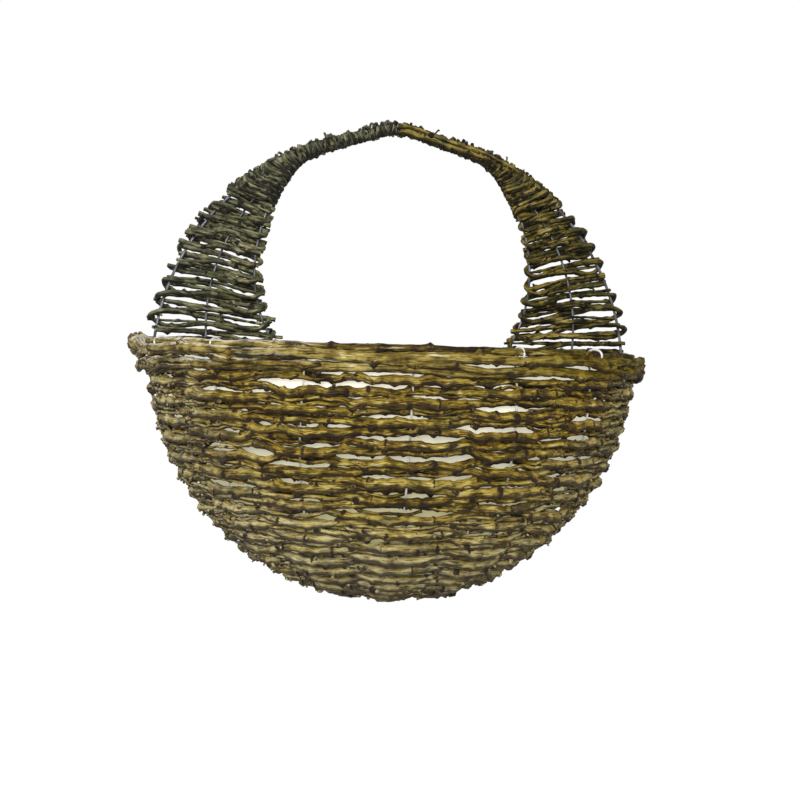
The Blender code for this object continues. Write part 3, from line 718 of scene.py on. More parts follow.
# Each row swings outside one rib and inside the next, bends at its knots, and wanders a little.
for row, level in enumerate(row_levels):
    vine_level = row_levels[row - row % 2 : row - row % 2 + 2].mean()
    stops, sides = [], []
    for azimuth, turn in crossings_of(level, vine_level):
        wire_radius = HOOP_WIRE if abs(azimuth) == QUARTER else RIB_WIRE
        stops.append(azimuth)
        sides.append((wire_radius + 0.92 * VINE_RADIUS) * (-1) ** (row + turn))
    index = np.clip(np.searchsorted(stops, azimuths, side="right") - 1, 0, len(stops) - 2)
    stops, sides = np.array(stops), np.array(sides)
    share = (azimuths - stops[index]) / (stops[index + 1] - stops[index])
    share = share * share * (3 - 2 * share)
    offset_grid[row] = sides[index] + (sides[index + 1] - sides[index]) * share
    run = (azimuths + QUARTER) * row_radius(level)
    places = even_places(rng, run[-1], (0.010, 0.024))
    knot_grid[row] = bumps(run, places, KNOT_WIDTH)
    kinks = np.concatenate(((0,), places, (run[-1],)))
    zigzag = rng.uniform(0.2, 1.0, len(kinks)) * (-1) ** np.arange(len(kinks))
    zigzag[0] = zigzag[-1] = 0
    calm = min(1, row_radius(level) / 0.07)
    level_grid[row] += calm * (0.0011 * np.interp(run, kinks, zigzag) + 0.0010 * slow_noise(rng, run, 0.036))
    offset_grid[row] += 0.0007 * calm * np.interp(run, kinks, zigzag[::-1])
    radius_grid[row] = rng.uniform(0.86, 1.08) * VINE_RADIUS * (1 + 0.11 * slow_noise(rng, run, 0.026))
    if 1 < row < 27:
        openings = even_places(rng, run[-1], (0.060, 0.150))
        lens_grid[row] = rng.uniform(0.0014, 0.0030) * bumps(run, openings, rng.uniform(0.007, 0.012))
radius_grid[0] *= 1.08
for row, azimuth, width, height in OPENINGS:
    apart = (azimuths - azimuth) * row_radius(row_levels[row]) / 1.2
    lens_grid[row] = np.maximum(lens_grid[row], (1.05 * height + 0.0014) * np.exp(-((apart / width) ** 2)))
radius_grid *= 1 + 0.10 * np.clip(offset_grid / (RIB_WIRE + VINE_RADIUS), -0.5, 1)
at_hoop = np.exp(-(((QUARTER - abs(azimuths)) / 0.16) ** 2))
radius_grid *= 1 - 0.18 * at_hoop
offset_grid *= 1 - 0.12 * at_hoop

# Rows that touch push each other apart, and the big gaps of the real basket stay open.
for _ in range(RELAX_ROUNDS):
    reach = (radius_grid[1:] + radius_grid[:-1]) * 0.88
    apart = offset_grid[1:] - offset_grid[:-1]
    need = np.sqrt(np.maximum(reach**2 - apart**2, (0.62 * reach) ** 2)) + lens_grid[1:]
    push = np.maximum(need - (level_grid[1:] - level_grid[:-1]), 0) / 2
    for far in (1, 3):
        push = (push + 0.5 * np.roll(push, far, axis=1) + 0.5 * np.roll(push, -far, axis=1)) / 2
    level_grid[:-1] -= push
    level_grid[1:] += push
    level_grid[0] = np.maximum(level_grid[0], BORDER_LEVELS[1] + BORDER_RADII[1] + radius_grid[0])
    level_grid[-1] = np.minimum(level_grid[-1], row_levels[-1] + 0.0006)

vine_bark = bark(
    "vine_bark",
    ((0.034, 0.020, 0.008), (0.128, 0.083, 0.012), (0.300, 0.205, 0.028), (0.50, 0.385, 0.090)),
    straw=(0.62, 0.53, 0.26, 1), straw_from=0.60, knot_and_shade_colour=(0.017, 0.010, 0.008, 1),
    weathered=((0.56, 0.51, 0.30, 1), 0.65), right_tint=(1.0, 0.97, 0.8, 1), fine=1.3,
)
for index in range(VINE_COUNT):
    rows = (2 * index, 2 * index + 1)
    side = 1 if index % 2 else -1
    channels = []
    for row in rows:
        points, normals = bowl_points(azimuths, level_grid[row], offset_grid[row])
        channels.append([item[::side] for item in (points, normals, radius_grid[row], knot_grid[row])])
    upper, lower = channels[0], [item[::-1] for item in channels[1]]
    edge = -1 if side > 0 else 0
    hoop_ends = [bowl_points(side * QUARTER, level_grid[row][edge], 0.0)[0] for row in rows]
    first_reach = np.linalg.norm(upper[0][-1] - hoop_ends[0])
    last_reach = np.linalg.norm(lower[0][0] - hoop_ends[1])
    out = (upper[0][-1] - hoop_ends[0]) / first_reach
    shares = np.linspace(0, 1, 18)[1:-1, None]
    bow = 1 + 0.03 * rng.uniform() * np.sin(shares * math.pi)
    bow = bow * (first_reach + (last_reach - first_reach) * shares)
    round_hoop = np.cos(math.pi * shares) * out + np.sin(math.pi * shares) * BACK
    turn = hoop_ends[0] + (hoop_ends[1] - hoop_ends[0]) * shares + bow * round_hoop
    stubs = []
    for end in (upper[0][0], lower[0][-1]):
        way = BACK + np.array((side * rng.uniform(-0.35, 0.2), 0, rng.uniform(-0.3, 0.3)))
        stubs.append(end + unit_of(way) * rng.uniform(*STUB_LENGTHS))
    points = np.vstack((stubs[:1], upper[0], turn, lower[0], stubs[1:]))
    turn_lean = np.repeat(upper[1][-1:], len(turn), axis=0)
    normals = np.vstack((upper[1][:1], upper[1], turn_lean, lower[1], lower[1][-1:]))
    turn_radii = np.linspace(upper[2][-1], lower[2][0], len(turn))
    radii = np.concatenate((upper[2][:1], upper[2], turn_radii, lower[2], lower[2][-1:]))
    knuckle = bumps(np.linspace(-1, 1, len(turn)), rng.uniform(-0.9, 0.9, 3), 0.12)
    knots = np.concatenate(((0.2,), upper[3], knuckle, lower[3], (0.2,)))
    taper = np.linspace(1.05, 0.95, len(points))
    # Painted shade under the border: rows near the top are toned deeper, rows low in the bowl lighter.
    border_shade_gradient = 0.9 * index / VINE_COUNT - 0.35
    stems = [lay(points, normals, radii * taper, knots, border_shade_gradient + rng.uniform(0, 1.0))]
    # Thinner strands laid in over each row, and halfway to the next one.
    for lane, row in enumerate(rows * 2 if row_radius(row_levels[rows[1]]) > 0.03 else ()):
        between = (lane > 1) * rng.uniform(0.4, 0.6) * (row_levels[1] - row_levels[0])
        at = rng.uniform(-1.5, -1.0)
        while at < 1.25:
            span = (azimuths > at) & (azimuths < at + rng.uniform(0.35, 1.1)) & (azimuths < 1.5)
            at = azimuths[span][-1] + rng.uniform(0.05, 0.45)
            run = azimuths[span] * row_radius(row_levels[row])
            thin = rng.uniform(0.0010, 0.0018) * (1 if index < FINE_FROM else 0.8)
            tucked = 0.004 * bumps(run, run[[0, -1]], 0.007)
            calm = 1 / (1 + 600 * lens_grid[row : row + 2, span].max(axis=0))
            levels = level_grid[row][span] + calm * (between + 0.0019 * slow_noise(rng, run, 0.042))
            levels = levels + 0.0006 * slow_noise(rng, run, 0.007)
            offsets = np.maximum(offset_grid[row][span] * 0.5, RIB_WIRE + thin) - tucked - (lane > 1) * 0.0006
            points, normals = bowl_points(azimuths[span], levels, offsets)
            knots = bumps(run - run[0], even_places(rng, run[-1] - run[0], (0.008, 0.022)), 0.0017)
            radii = thin * (1 + 0.15 * slow_noise(rng, run, 0.02))
            stems.append(lay(points, normals, radii, knots, border_shade_gradient + rng.uniform(0, 1.0)))
    # Broken lengths that cross the rows near both ends.
    for count in range(TANGLE_COUNT):
        row, sign = rows[count % 2], 1 if count < TANGLE_COUNT // 2 else -1
        span = sign * np.linspace(rng.uniform(0.75, 1.25), rng.uniform(1.38, 1.56), SHORT_POINTS)
        drift = np.linspace(0, 1, SHORT_POINTS) * rng.uniform(-0.006, 0.006)
        drift = drift * min(1, row_radius(row_levels[row]) / 0.1)
        run = span * row_radius(row_levels[row])
        levels = np.interp(span, azimuths, level_grid[row]) + drift + 0.001 * slow_noise(rng, run, 0.012)
        points, normals = bowl_points(span, levels, rng.uniform(0.002, 0.0048))
        thin = rng.uniform(0.0008, 0.0014) * np.linspace(1, 0.8, SHORT_POINTS)
        path, radii, *lean = even_path(points, VINE_STEP, thin, *normals.T)
        places = even_places(rng, len(path) * VINE_STEP, (0.006, 0.014))
        knots = bumps(np.arange(len(path)) * VINE_STEP, places, 0.0015)
        stems.append(Stem(path, radii, knots, np.column_stack(lean), rng.uniform(-1.0, 1.3), 0.4))
    # Side shoots cut off short, most of them near both ends.
    for count in range(SPUR_COUNT):
        source = (upper, lower)[count % 2]
        spot = rng.integers(2, 80) if rng.uniform() < 0.5 else len(azimuths) - rng.integers(3, 81)
        way = source[1][spot] * rng.uniform(0.6, 1.0)
        way = way + np.array((0, rng.uniform(-0.3, 0.5), rng.uniform(-0.9, 0.9)))
        way = unit_of(way) * rng.uniform(0.0030, 0.0052)
        thin = rng.uniform(0.0007, 0.0016) * np.array((1.0, 0.75))
        stems.append(spike(source[0][spot], way, 5, thin, way, rng.uniform(-1.5, 1.5), 0.3))
    if index == VINE_COUNT - 1:
        bottom = lower[0][len(azimuths) // 2]
        stems.append(spike(bottom, 0.0095 * np.array((-1.0, -0.4, -0.7)), 9, (0.0016, 0.0016), -UP, -1.5))
    number = f"{index + 1:02d}"
    grow(f"front_vine_{number}", stems, rng, vine_bark, "vine_twig", [f"front_weaver_{number}"], 0.3)

# The border: stout twigs with peeling bark. Two lie in front of the ribs at the mouth, one with a
# thick root end at the left corner, the other with a heel at the right. A third, behind the ribs,
# holds the liner's edge.

KNOB = 0.0090
HEEL = 0.0070
INNER_RADIUS = 0.0030


def border_path(level, offset, wander):
    azimuth = np.linspace(-QUARTER + 0.19, QUARTER - 0.19, 340)
    run = azimuth * HOOP_HALF_WIDTH
    places = even_places(rng, run[-1] - run[0], (0.030, 0.070)) + run[0]
    zigzag = rng.uniform(0.2, 1.0, len(places)) * (-1) ** np.arange(len(places))
    levels = level + wander * (np.interp(run, places, zigzag) + slow_noise(rng, run, 0.06))
    offsets = offset + wander * slow_noise(rng, run, 0.05)
    points, normals = bowl_points(azimuth, levels, offsets)
    return points, normals, bumps(run, places, KNOT_WIDTH), run


def shoots(count, centre, size, side, shade):
    """Stubby ends that stand out of a thick root end on all sides but the inner one."""
    stems = []
    for _ in range(count):
        way = np.array((side * rng.uniform(-0.1, 1.0), rng.uniform(-0.9, 0.5), rng.uniform(-0.9, 0.9)))
        way = unit_of(way)
        path = centre + way * size * np.linspace(0.3, rng.uniform(0.85, 1.2), 8)[:, None]
        thin = size * rng.uniform(0.20, 0.36) * np.linspace(1.3, 0.75, 8)
        stems.append(Stem(path, thin, np.linspace(0.1, 0.9, 8), way, shade * rng.uniform(-1.5, 1), 0.15))
    return stems


def root_twig(level, offset, radius, taper, root, size, far, girth, side, shoot_count, shade):
    """A stout twig round the mouth that ends on one side in a thick root, with shoots on it."""
    points, normals, knots, run = border_path(level, offset, 0.0010)
    radii = radius * (1 + 0.15 * slow_noise(rng, run, 0.03)) * np.linspace(*taper, len(run))
    parts = (
        (root + BACK * size * np.array(far)[:, None], points),
        (np.tile((side, -0.2, 0.3), (len(far), 1)), normals),
        (size * np.array(girth), radii),
        (np.full(len(far), 0.25), knots),
    )
    joined = [np.concatenate(pair[::-side]) for pair in parts]
    return [lay(*joined, shade, 0.4)] + shoots(shoot_count, root, size, side, shade)


def overlay(span, levels, out, thickness, knots, shade):
    """A strand laid over the border."""
    return Stem(bowl_points(span, levels, out)[0], thickness, knots, -BACK + 0.3 * UP, shade, 0.2)


def fan(count, starts, ends, levels_from, drops, waver, arc, thickness, taper, shades):
    """Thin strands that spread from a root end over the border."""
    strands = []
    for _ in range(count):
        start, end = rng.uniform(*starts), rng.uniform(*ends)
        span = np.linspace(start, end, SHORT_POINTS)
        levels = rng.uniform(*levels_from) + np.linspace(0, 1, SHORT_POINTS) * rng.uniform(*drops)
        levels = levels + waver * slow_noise(rng, span * HOOP_HALF_WIDTH, 0.014)
        out = upper_offset + 0.0005 + 0.0035 * np.sin(np.linspace(*arc, SHORT_POINTS) * math.pi)
        spots = bumps(span, rng.uniform(start, end, 2), 0.012)
        thin = rng.uniform(*thickness) * np.linspace(*taper, SHORT_POINTS)
        strands.append(overlay(span, levels, out, thin, spots, rng.uniform(*shades)))
    return strands


# The border's bark gets the painted highlight on its upper left (pale) and painted shade on faces turned down
# (under).
border_bark = bark(
    "border_bark",
    ((0.018, 0.012, 0.005), (0.075, 0.050, 0.010), (0.165, 0.117, 0.023), (0.34, 0.265, 0.07)),
    straw=(0.62, 0.54, 0.30, 1), straw_from=0.62, knot_and_shade_colour=(0.018, 0.011, 0.009, 1),
    weathered=((0.36, 0.31, 0.17, 1), 0.3), right_tint=(0.64, 0.58, 0.10, 1), pale=0.6,
    fine=0.75, under=-0.15,
)
eye_reach = THIN_WIRE + WIRE_TOUCH + 2 * RIB_WIRE
upper_offset = eye_reach + WIRE_TOUCH + BORDER_RADII[0]
knob = RIM_CENTRE + np.array((-HOOP_HALF_WIDTH - HOOP_WIRE - WIRE_TOUCH - KNOB, 0, -0.0008))
stems = root_twig(
    BORDER_LEVELS[0] - 0.0006, upper_offset, BORDER_RADII[0], (1.20, 1.06), knob, KNOB,
    (0.8, 0.3, -0.2, -0.7, -1.1), (0.60, 0.76, 0.84, 0.82, 0.72), -1, 26, 0.8,
)
for start, end, level, out, thin, shade in (
    (-1.36, -0.40, -0.0016, -0.0004, 0.0027, 1.0),
    (-0.60, 0.36, -0.0016, -0.0008, 0.0026, -0.8),
    (0.20, 0.75, -0.0014, -0.0006, 0.0025, 0.1),
    (0.62, 1.22, -0.0006, -0.0006, 0.0022, -0.6),
    (-1.30, -0.62, 0.0030, 0.0030, 0.0030, 0.9),
    (-0.85, -0.30, 0.0085, 0.0022, 0.0024, 0.1),
    (-0.72, -0.34, 0.0050, 0.0034, 0.0021, -1.8),
    (-0.20, 0.45, 0.0095, 0.0024, 0.0020, 0.2),
    (0.35, 0.95, 0.0050, 0.0026, 0.0026, 0.6),
    (0.80, 1.40, 0.0100, 0.0026, 0.0024, 0.2),
    (0.90, 1.30, 0.0035, 0.0022, 0.0022, -0.6),
):
    span = np.linspace(start, end, 60)
    run = span * HOOP_HALF_WIDTH
    slant = rng.uniform(-0.003, 0.003) * np.linspace(-1, 1, 60) * (level > 0)
    tucked = 0.004 * bumps(run, run[[0, -1]], 0.010)
    levels = level + slant + (0.0008 + 0.0012 * (level > 0)) * slow_noise(rng, run, 0.03)
    spots = bumps(run, even_places(rng, run[-1] - run[0], (0.025, 0.060)) + run[0], KNOT_WIDTH)
    tapered = 1 - 0.45 * bumps(run, run[[0, -1]], 0.012)
    thickness = thin * (1 + 0.18 * slow_noise(rng, run, 0.02)) * tapered
    stems.append(overlay(span, levels, upper_offset + out - tucked, thickness, spots, shade))
for azimuth in (-RIB_SPACING, -0.25, 0.0, 0.25):
    start, way = bowl_points(azimuth, 0.004, upper_offset - 0.001)
    reach = (UP - 0.2 * way) * rng.uniform(0.0055, 0.0070)
    stems.append(spike(start, reach, 8, (0.0028, 0.0018), way, 0.1))
stems += fan(
    11, (-1.56, -1.30), (-1.22, -0.85), (0.008, 0.019), (-0.009, 0.001), 0.0016, (0.6, 1),
    (0.0015, 0.0024), (1.1, 0.8), (-1.2, 1.0),
)
grow("border_twig_upper", stems, rng, border_bark, "border_vine", ["upper_border_twig"], 0.1, 1.0)

lower_offset = RIB_WIRE + WIRE_TOUCH + BORDER_RADII[1]
heel_level = BORDER_LEVELS[1] + BORDER_RADII[1] - HEEL
heel = RIM_CENTRE + np.array((HOOP_HALF_WIDTH + HOOP_WIRE + WIRE_TOUCH + HEEL, 0, -heel_level - 0.002))
stems = root_twig(
    BORDER_LEVELS[1], lower_offset, BORDER_RADII[1], (0.98, 1.12), heel, HEEL,
    (-1.2, -0.7, -0.2, 0.3, 0.9), (0.75, 0.80, 0.84, 0.76, 0.6), 1, 20, 0.6,
)
for reach in (0.0100, 0.0085, 0.0115):
    way = np.array((rng.uniform(0.35, 0.9), rng.uniform(-0.5, 0.1), -1.0))
    ahead = unit_of(way) * reach
    stems.append(spike(heel + 0.2 * ahead, 0.8 * ahead, 9, (0.0036, 0.0026), way, 0.5, 0.7, (0.1, 0.9)))
stems += fan(
    9, (0.95, 1.2), (1.40, 1.54), (0.002, 0.009), (0.004, 0.012), 0.0014, (0, 0.5),
    (0.0014, 0.0022), (0.8, 1.1), (-1.0, 1.0),
)
grow("border_twig_lower", stems, rng, border_bark, "border_vine", ["lower_border_twig"], 0.1, 1.0)

inner_offset = -(eye_reach + WIRE_TOUCH + INNER_RADIUS)
points, normals, knots, run = border_path(BORDER_LEVELS[0], inner_offset, 0.0004)
stems = [lay(points, -normals, np.full(len(run), INNER_RADIUS), knots, 0.3)]
for azimuth in (-0.79, -0.30, -0.17, -0.05, 0.34, 0.68):
    start, way = bowl_points(azimuth, 0.002, inner_offset)
    reach = (UP + 0.5 * way) * rng.uniform(0.004, 0.006)
    stems.append(spike(start, reach, 7, (0.0017, 0.0012), way, 0.0, knots=(1, 1)))
grow("border_twig_inner", stems, rng, border_bark, "border_vine", ["inner_border_twig"], 0.1)

# The handle's legs: vines woven to and fro over three wires, with open gaps and thinner strands laid
# in beside them. They are greyer than the front, with painted shade making them deeper, and their
# turns stick out past the wires.

LEG_RADIUS = 0.0026
LEG_PITCH = 0.0068
LEG_FIRST_ROW = 0.0095
LEG_TOP_SHARE = 0.45
TURN_TOUCH = 0.0009
LEG_STEP = 0.0012


def leg_rows():
    outer = arches[0]
    start = math.asin(LEG_FIRST_ROW / outer.radius) / QUARTER
    rows = 2 * int(outer.radius * QUARTER * (LEG_TOP_SHARE - start) / LEG_PITCH / 2)
    return start, rows, (LEG_TOP_SHARE - start) / (rows - 1)


def leg_path(side, first_row, count):
    outer, middle, inner = arches
    start, rows, step = leg_rows()
    reach = THIN_WIRE + TURN_TOUCH + LEG_RADIUS
    outer_reach = HOOP_WIRE + TURN_TOUCH + LEG_RADIUS
    points = []
    for row in range(first_row, first_row + count):
        shares = np.maximum(start * 0.8, start + step * (row + 0.22 * rng.uniform(-1, 1, 3)))
        sign = (-1) ** row
        across = [
            outer.point(shares[0], side) - sign * outer_reach * BACK,
            middle.point(shares[1], side) + sign * reach * BACK,
            inner.point(shares[2], side) - sign * reach * BACK,
        ]
        points += across[::sign]
        if row + 1 == first_row + count:
            break
        edge_wire, out, deep = (outer, outer_reach, -outer_reach) if row % 2 else (inner, -reach, reach)
        far = rng.uniform(0.75, 1.1) - (side > 0) * (0.15 if row % 2 else 0.5)
        for number, deep_share in ((1, -0.45), (2, 0.45)):
            at = start + step * (row + number / 3)
            edge = edge_wire.point(at, side) + far * out * edge_wire.outward(at, side)
            points.append(edge + deep * deep_share * BACK)
    return smooth_path(points, LEG_STEP)


def strand(points, thickness, shade, knot_spacing=(0.009, 0.022)):
    """A stem along the points with knots at uneven places."""
    path = smooth_path(points, LEG_STEP)
    run = np.arange(len(path)) * LEG_STEP
    knots = bumps(run, even_places(rng, run[-1], knot_spacing), 0.0019)
    radii = thickness * (1 + 0.18 * slow_noise(rng, run, 0.018))
    return Stem(path, radii, knots, -BACK, shade)


# Painted shade: the handle's bark, on the legs and the windings, is coloured much deeper than the front's.
grey_shaded_bark = bark(
    "grey_shaded_bark",
    ((0.018, 0.018, 0.010), (0.068, 0.068, 0.032), (0.150, 0.144, 0.068), (0.33, 0.31, 0.16)),
    straw=(0.52, 0.49, 0.33, 1), straw_from=0.60, knot_and_shade_colour=(0.010, 0.009, 0.009, 1),
    weathered=((0.16, 0.16, 0.13, 1), 0.3), moss=(0.085, 0.095, 0.020, 1),
)
olive_shaded_bark = bark(
    "olive_shaded_bark",
    ((0.009, 0.007, 0.003), (0.040, 0.033, 0.010), (0.108, 0.086, 0.016), (0.30, 0.22, 0.042)),
    straw=(0.50, 0.42, 0.20, 1), straw_from=0.62, knot_and_shade_colour=(0.007, 0.005, 0.004, 1),
    weathered=((0.13, 0.12, 0.06, 1), 0.2),
)
rng = np.random.default_rng(7)
start, row_total, step = leg_rows()
half = 2 * (row_total // 4)
for side, word, handle_bark in ((-1, "left", grey_shaded_bark), (1, "right", olive_shaded_bark)):
    for number, (first, count) in enumerate(((0, half), (half, row_total - half)), 1):
        stems = [strand(leg_path(side, first, count), 0.72 * LEG_RADIUS, rng.uniform(0.2, 0.6))]
        laid_rows = [row for row in np.arange(-0.75, 11.0, 1.0) if first - 1 <= row < first + count]
        laid_rows += [row for row in np.arange(11.2, row_total + 1.5, 0.55) if first <= row]
        for row in laid_rows:
            at = start + step * (row + rng.uniform(-0.2, 0.2, 3))
            deep = (-1) ** round(row) * (THIN_WIRE + TURN_TOUCH + 0.0016) * BACK
            outer, middle, inner = (arch.point(share, side) for arch, share in zip(arches, at))
            way = unit_of(outer - inner)
            jut = ((1.5,), (2.6 if row < 4 else 1.2,))
            past = way * rng.uniform(0.001, 0.006, (2, 1)) * jut * (1 if side < 0 else 0.4)
            laid = [outer + past[0] - deep, outer - deep, middle + deep, inner - deep, inner - past[1] - deep]
            stems.append(strand(laid, rng.uniform(0.0011, 0.0020), rng.uniform(0, 0.9)))
        name = f"{word}_leg_vine_{number}"
        grow(name, stems, rng, handle_bark, "handle_vine", [f"{word}_leg_weaver_{number}"], 0.35, 1.7)

# The windings: vines wound tightly, three side by side, round all the wires on each half of the handle's
# top. They are thick where they start and thin under the hook, with knobs and thorny spurs. On the
# right two smoother, golden lengths run along the top of the loops.

WINDING_RADIUS = 0.0017
WINDING_LOOPS = 30
LOOP_ENDS = ((0.35, -1.0), (1.0, -0.45), (1.0, 0.45), (0.35, 1.0))
# Each wound vine: its shift in loops, how tight it lies, and its tone; the third, tucked under the others, is
# toned deeper as painted shade.
WOUND_VINES = ((0, 1.0, 0.8), (0.35, 0.93, -0.2), (0.68, 0.85, -0.9))
LAID_LENGTHS = ((-0.0044, 0.0006, 1.0), (-0.0048, -0.0028, 0.99))
KNOB_COUNT = 64
THORN_COUNT = 3


def winding(side, shift, tight, loops, loose):
    """A vine wound round the wires of one half of the handle, shift loops further on, with each point
    loose by up to so many loops. Loops and vine get finer towards the top."""
    outer, _, inner = arches
    stops = 2 * len(LOOP_ENDS)
    points, finer = [], []
    for count in range(loops * stops + 1):
        progress = (count / stops + shift) / WINDING_LOOPS
        thickness = WINDING_RADIUS * (1 - 0.38 * progress)
        share = first + (last - first) * progress**0.85
        at_inner, stop = divmod(count % stops, len(LOOP_ENDS))
        out_share, deep_share = LOOP_ENDS[stop]
        edge_wire, reach, sign = (inner, THIN_WIRE, -1) if at_inner else (outer, HOOP_WIRE, 1)
        reach = (reach * SEEN_SHARE + thickness) * tight
        place = edge_wire.point(min(1, share + rng.uniform(-loose, loose) * loop_share), side)
        place[1] = sign * deep_share * (2 * THIN_WIRE + thickness) * tight
        far = 1 + 0.5 * rng.uniform() * (1 - progress) * (1 - at_inner)
        points.append(place + sign * out_share * far * reach * edge_wire.outward(share, side))
        finer.append(thickness)
    return points, finer


loop_share = (1 - LEG_TOP_SHARE) / (WINDING_LOOPS + 2)
first, last = LEG_TOP_SHARE + 1.2 * loop_share, 1 - loop_share / 6
outer = arches[0]
for side, word, handle_bark in ((-1, "left", grey_shaded_bark), (1, "right", olive_shaded_bark)):
    stems = []
    for shift, tight, tone_and_shade in WOUND_VINES:
        points, finer = winding(side, shift, tight, WINDING_LOOPS - (shift > 0), 0.35)
        vine = strand(points, 1, tone_and_shade + (0.4 if side > 0 else 0), (0.006, 0.014))
        along = (np.linspace(0, 1, len(values)) for values in (vine.radii, finer))
        vine.radii = vine.radii * np.interp(*along, finer)
        stems.append(vine)
    for count in range(KNOB_COUNT):
        at = first + (last - first) * rng.uniform(0, 0.99)
        edge_wire, sign = (arches[2], -1) if count % 4 == 3 else (outer, 1)
        out, along = edge_wire.outward(at, side), edge_wire.along(at, side)
        way = unit_of(sign * out + along * rng.uniform(-0.7, 0.7) - BACK * rng.uniform(0, 0.9))
        reach = rng.uniform(0.0048, 0.0068) if sign > 0 else rng.uniform(0.0038, 0.0050)
        base = edge_wire.point(at, side) + way * np.linspace(0.0015, reach, 7)[:, None]
        thin = rng.uniform(0.0013, 0.0024) * (1 if side < 0 else 0.8) * np.linspace(1.2, 0.85, 7)
        stems.append(Stem(base, thin, np.linspace(0.2, 0.8, 7), way, rng.uniform(-1.8, 0.9), 0.2))
    for _ in range(THORN_COUNT):
        at = first + (last - first) * rng.uniform(0, 0.9)
        out = outer.outward(at, side)
        way = out * rng.uniform(-0.4, 1.0) + outer.along(at, side) * rng.uniform(-1.2, 1.2)
        way = unit_of(way) - 0.3 * BACK
        base = outer.point(at, side) + 0.0022 * out
        thorn = [base, base + way * 0.003, base + way * 0.005 + 0.001 * out, base + way * 0.006]
        stems.append(strand(thorn, 0.0008, -0.8))
    if side > 0:
        for deep, lift, until in LAID_LENGTHS:
            laid = []
            for at in np.linspace(0.62, until, 14):
                raised = (lift + rng.uniform(-0.0008, 0.0008)) * outer.outward(at, side)
                laid.append(outer.point(at, side) + deep * BACK + raised)
            stems.append(strand(laid, 0.0021, rng.uniform(0.6, 1.1), (0.012, 0.024)))
    name = f"{word}_handle_wrap"
    grow(name, stems, rng, handle_bark, "handle_vine", [f"{word}_handle_winding"], 0.4, 2.0)

# The liner: a thin pocket of off-white plastic that keeps soil in. It hangs inside the ribs with its
# edge under the border's inner twig, its back lies flat, and it is creased low down. Its colour turns
# deeper and yellower towards the bottom as painted shade. It glows as painted light, standing in for
# light through the plastic from the open top: strongly on the front, faintly inside.

LINER_WALL = 0.0012
LINER_INSET = RIB_WIRE + 0.0006 + 2 * VINE_RADIUS + 0.0012


def liner_plastic(name, painted_glow):
    material, recipe, shader = new_material(name)
    place = recipe.node("ShaderNodeTexCoord", {}, {}, "Object")
    height = recipe.node("ShaderNodeSeparateXYZ", {}, {0: place}, "Z")
    stains = recipe.node("ShaderNodeTexNoise", {}, {"Vector": place, "Scale": 18, "Detail": 4}, "Fac")
    settings = {"noise_type": "RIDGED_MULTIFRACTAL"}
    creases = recipe.node("ShaderNodeTexNoise", settings, {"Vector": place, "Scale": 14}, "Fac")
    # Painted shade: the colour turns deeper and yellower with depth below the rim; the noise patches are
    # stains.
    depth = RIM_LEVEL - height + (stains - 0.5) * 0.03
    colour = blend(recipe, rise(recipe, depth, 0.030, 0.070), (0.84, 0.81, 0.69, 1), (0.56, 0.54, 0.41, 1))
    colour = blend(recipe, rise(recipe, depth, 0.075, 0.130), colour, (0.40, 0.37, 0.19, 1))
    colour = blend(recipe, rise(recipe, stains, 0.52, 0.75) * 0.3, colour, (0.42, 0.40, 0.28, 1))
    bump = recipe.node("ShaderNodeBump", {}, {"Strength": 0.3, "Distance": 0.001, "Height": creases})
    feed(shader, Base_Color=colour, Roughness=0.42 + stains * 0.2, Normal=bump)
    # Painted light: the liner glows in its own colour.
    feed(shader, Emission_Color=colour, Emission_Strength=painted_glow)
    return material


def cut_pocket(place, normal):
    """Cuts the pocket by a plane, keeps the side under it, and gives the cut edges back."""
    everything = pocket.verts[:] + pocket.edges[:] + pocket.faces[:]
    cut = bmesh.ops.bisect_plane(pocket, geom=everything, plane_co=place, plane_no=normal, clear_outer=True)
    return [item for item in cut["geom_cut"] if isinstance(item, bmesh.types.BMEdge)]


pocket = bmesh.new()
bmesh.ops.create_uvsphere(pocket, u_segments=96, v_segments=64, radius=1)
size = (HOOP_HALF_WIDTH - LINER_INSET, BOWL_DEPTH - LINER_INSET, BOWL_DROP - LINER_INSET)
bmesh.ops.scale(pocket, vec=size, verts=pocket.verts)
bmesh.ops.contextual_create(pocket, geom=cut_pocket((0, -(THIN_WIRE + 0.0006), 0), (0, 1, 0)))
cut_pocket((0, 0, -(BORDER_LEVELS[0] + INNER_RADIUS + WIRE_TOUCH)), (0, 0, 1))
bmesh.ops.translate(pocket, vec=tuple(RIM_CENTRE), verts=pocket.verts)
for face in pocket.faces:
    face.smooth = len(face.verts) < 5
    face.material_index = int(not face.smooth)
liner_mesh = bpy.data.meshes.new("liner_pocket")
pocket.to_mesh(liner_mesh)
pocket.free()
# Painted light: the outer face of the bowl glows strongly; the inside, the rim and the flat back glow
# faintly.
liner_mesh.materials.append(liner_plastic("liner_front", 0.7))
liner_mesh.materials.append(liner_plastic("liner_inside", 0.1))
liner = put_in_scene("liner_pocket", liner_mesh)
wall = liner.modifiers.new("wall", "SOLIDIFY")
wall.thickness = LINER_WALL
wall.offset = -1
wall.material_offset = wall.material_offset_rim = 1
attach(liner, "root")
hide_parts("liner")

# The room: a pale floor well below the basket, a soft light from the upper left of the front, and
# the camera level with the rim, a little to the left, and tipped as the photograph is.

FLOOR_LEVEL = -1.0
CAMERA_DISTANCE = 1.15
CAMERA_AZIMUTH = math.radians(-5)
CAMERA_ELEVATION = math.radians(0.3)
CAMERA_ROLL = math.radians(1.75)
LENS = 65.1
LENS_SHIFT = (0.0115, -0.0632)
LIGHT_POWER = 24
LIGHT_PLACE = (-0.4, -1.7, 0.2)


def seen_by_eye(recipe):
    """1 for rays that come from the camera, gloss or glass, and 0 for the ones that light things."""
    rays = ("Is Camera Ray", "Is Glossy Ray", "Is Transmission Ray")
    seen, *others = (recipe.node("ShaderNodeLightPath", {}, {}, ray) for ray in rays)
    for other in others:
        seen = recipe.sum("MAXIMUM", seen, other)
    return seen


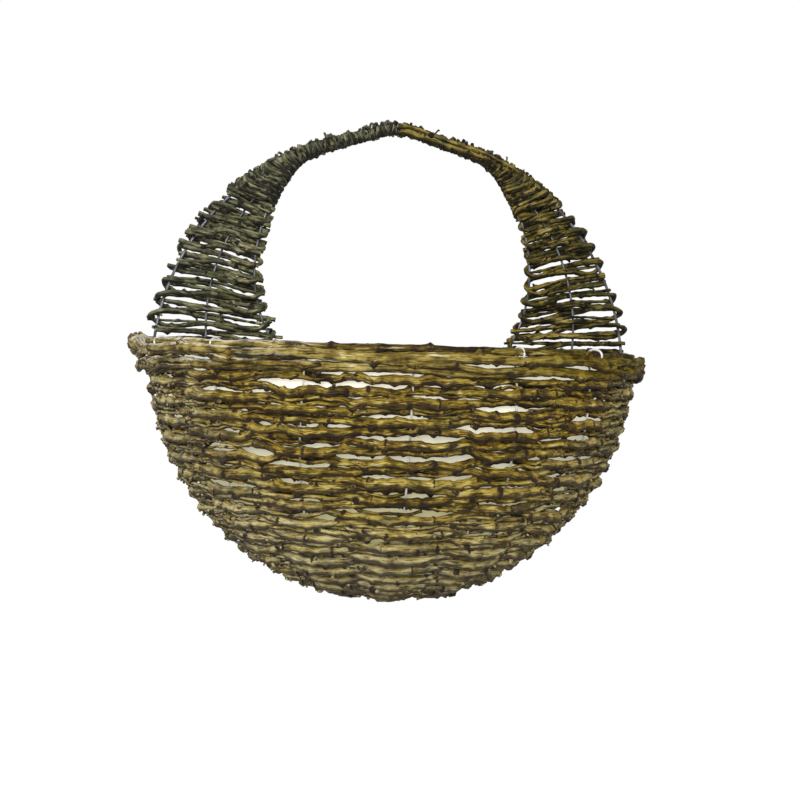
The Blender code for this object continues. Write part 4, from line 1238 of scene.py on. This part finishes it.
world = bpy.data.worlds.new("room_light")
bpy.context.scene.world = world
world.use_nodes = True
sky = world.node_tree.nodes["Background"]
sky.inputs["Color"].default_value = (1, 1, 1, 1)
feed(sky, Strength=0.65 + seen_by_eye(Recipe(world.node_tree)) * 0.35)

floor_sheet = bmesh.new()
bmesh.ops.create_grid(floor_sheet, x_segments=4, y_segments=4, size=9)
bmesh.ops.translate(floor_sheet, vec=(0, 0, FLOOR_LEVEL), verts=floor_sheet.verts)
floor_mesh = bpy.data.meshes.new("floor")
floor_sheet.to_mesh(floor_mesh)
floor_sheet.free()
floor_material, recipe, shader = new_material("pale_floor")
clouds = recipe.node("ShaderNodeTexNoise", {}, {"Scale": 3}, "Fac")
feed(shader, Base_Color=blend(recipe, clouds, (0.84, 0.84, 0.84, 1), (0.88, 0.88, 0.88, 1)), Roughness=0.9)
paint = Recipe(recipe.tree, shader.outputs[0])
glow = recipe.node("ShaderNodeEmission", {}, {"Strength": 1.04})
mixed = recipe.node("ShaderNodeMixShader", {}, {0: seen_by_eye(recipe) * 0.92, 1: paint, 2: glow})
feed(recipe.tree.nodes["Material Output"], Surface=mixed)
floor_mesh.materials.append(floor_material)
floor_object = put_in_scene("floor", floor_mesh)

light = bpy.data.lights.new("window_light", "AREA")
light.shape = "DISK"
light.size = 0.8
light.energy = LIGHT_POWER
holder = put_in_scene("window_light", light)
holder.location = LIGHT_PLACE
holder.rotation_euler = (Vector((0, 0, -0.18)) - holder.location).to_track_quat("-Z", "Y").to_euler()

camera_data = bpy.data.cameras.new("camera")
camera_data.sensor_width = 36
camera_data.lens = LENS
camera_data.shift_x, camera_data.shift_y = LENS_SHIFT
camera = put_in_scene("camera", camera_data)
flat = math.cos(CAMERA_ELEVATION)
way = Vector((math.sin(CAMERA_AZIMUTH) * flat, -math.cos(CAMERA_AZIMUTH) * flat, math.sin(CAMERA_ELEVATION)))
camera.location = Vector((0, 0, RIM_LEVEL)) + way * CAMERA_DISTANCE
tipped = (-way).to_track_quat("-Z", "Y").to_matrix() @ Matrix.Rotation(CAMERA_ROLL, 3, "Z")
camera.rotation_euler = tipped.to_euler()
bpy.context.scene.camera = camera
bpy.context.scene.view_settings.view_transform = "Standard"
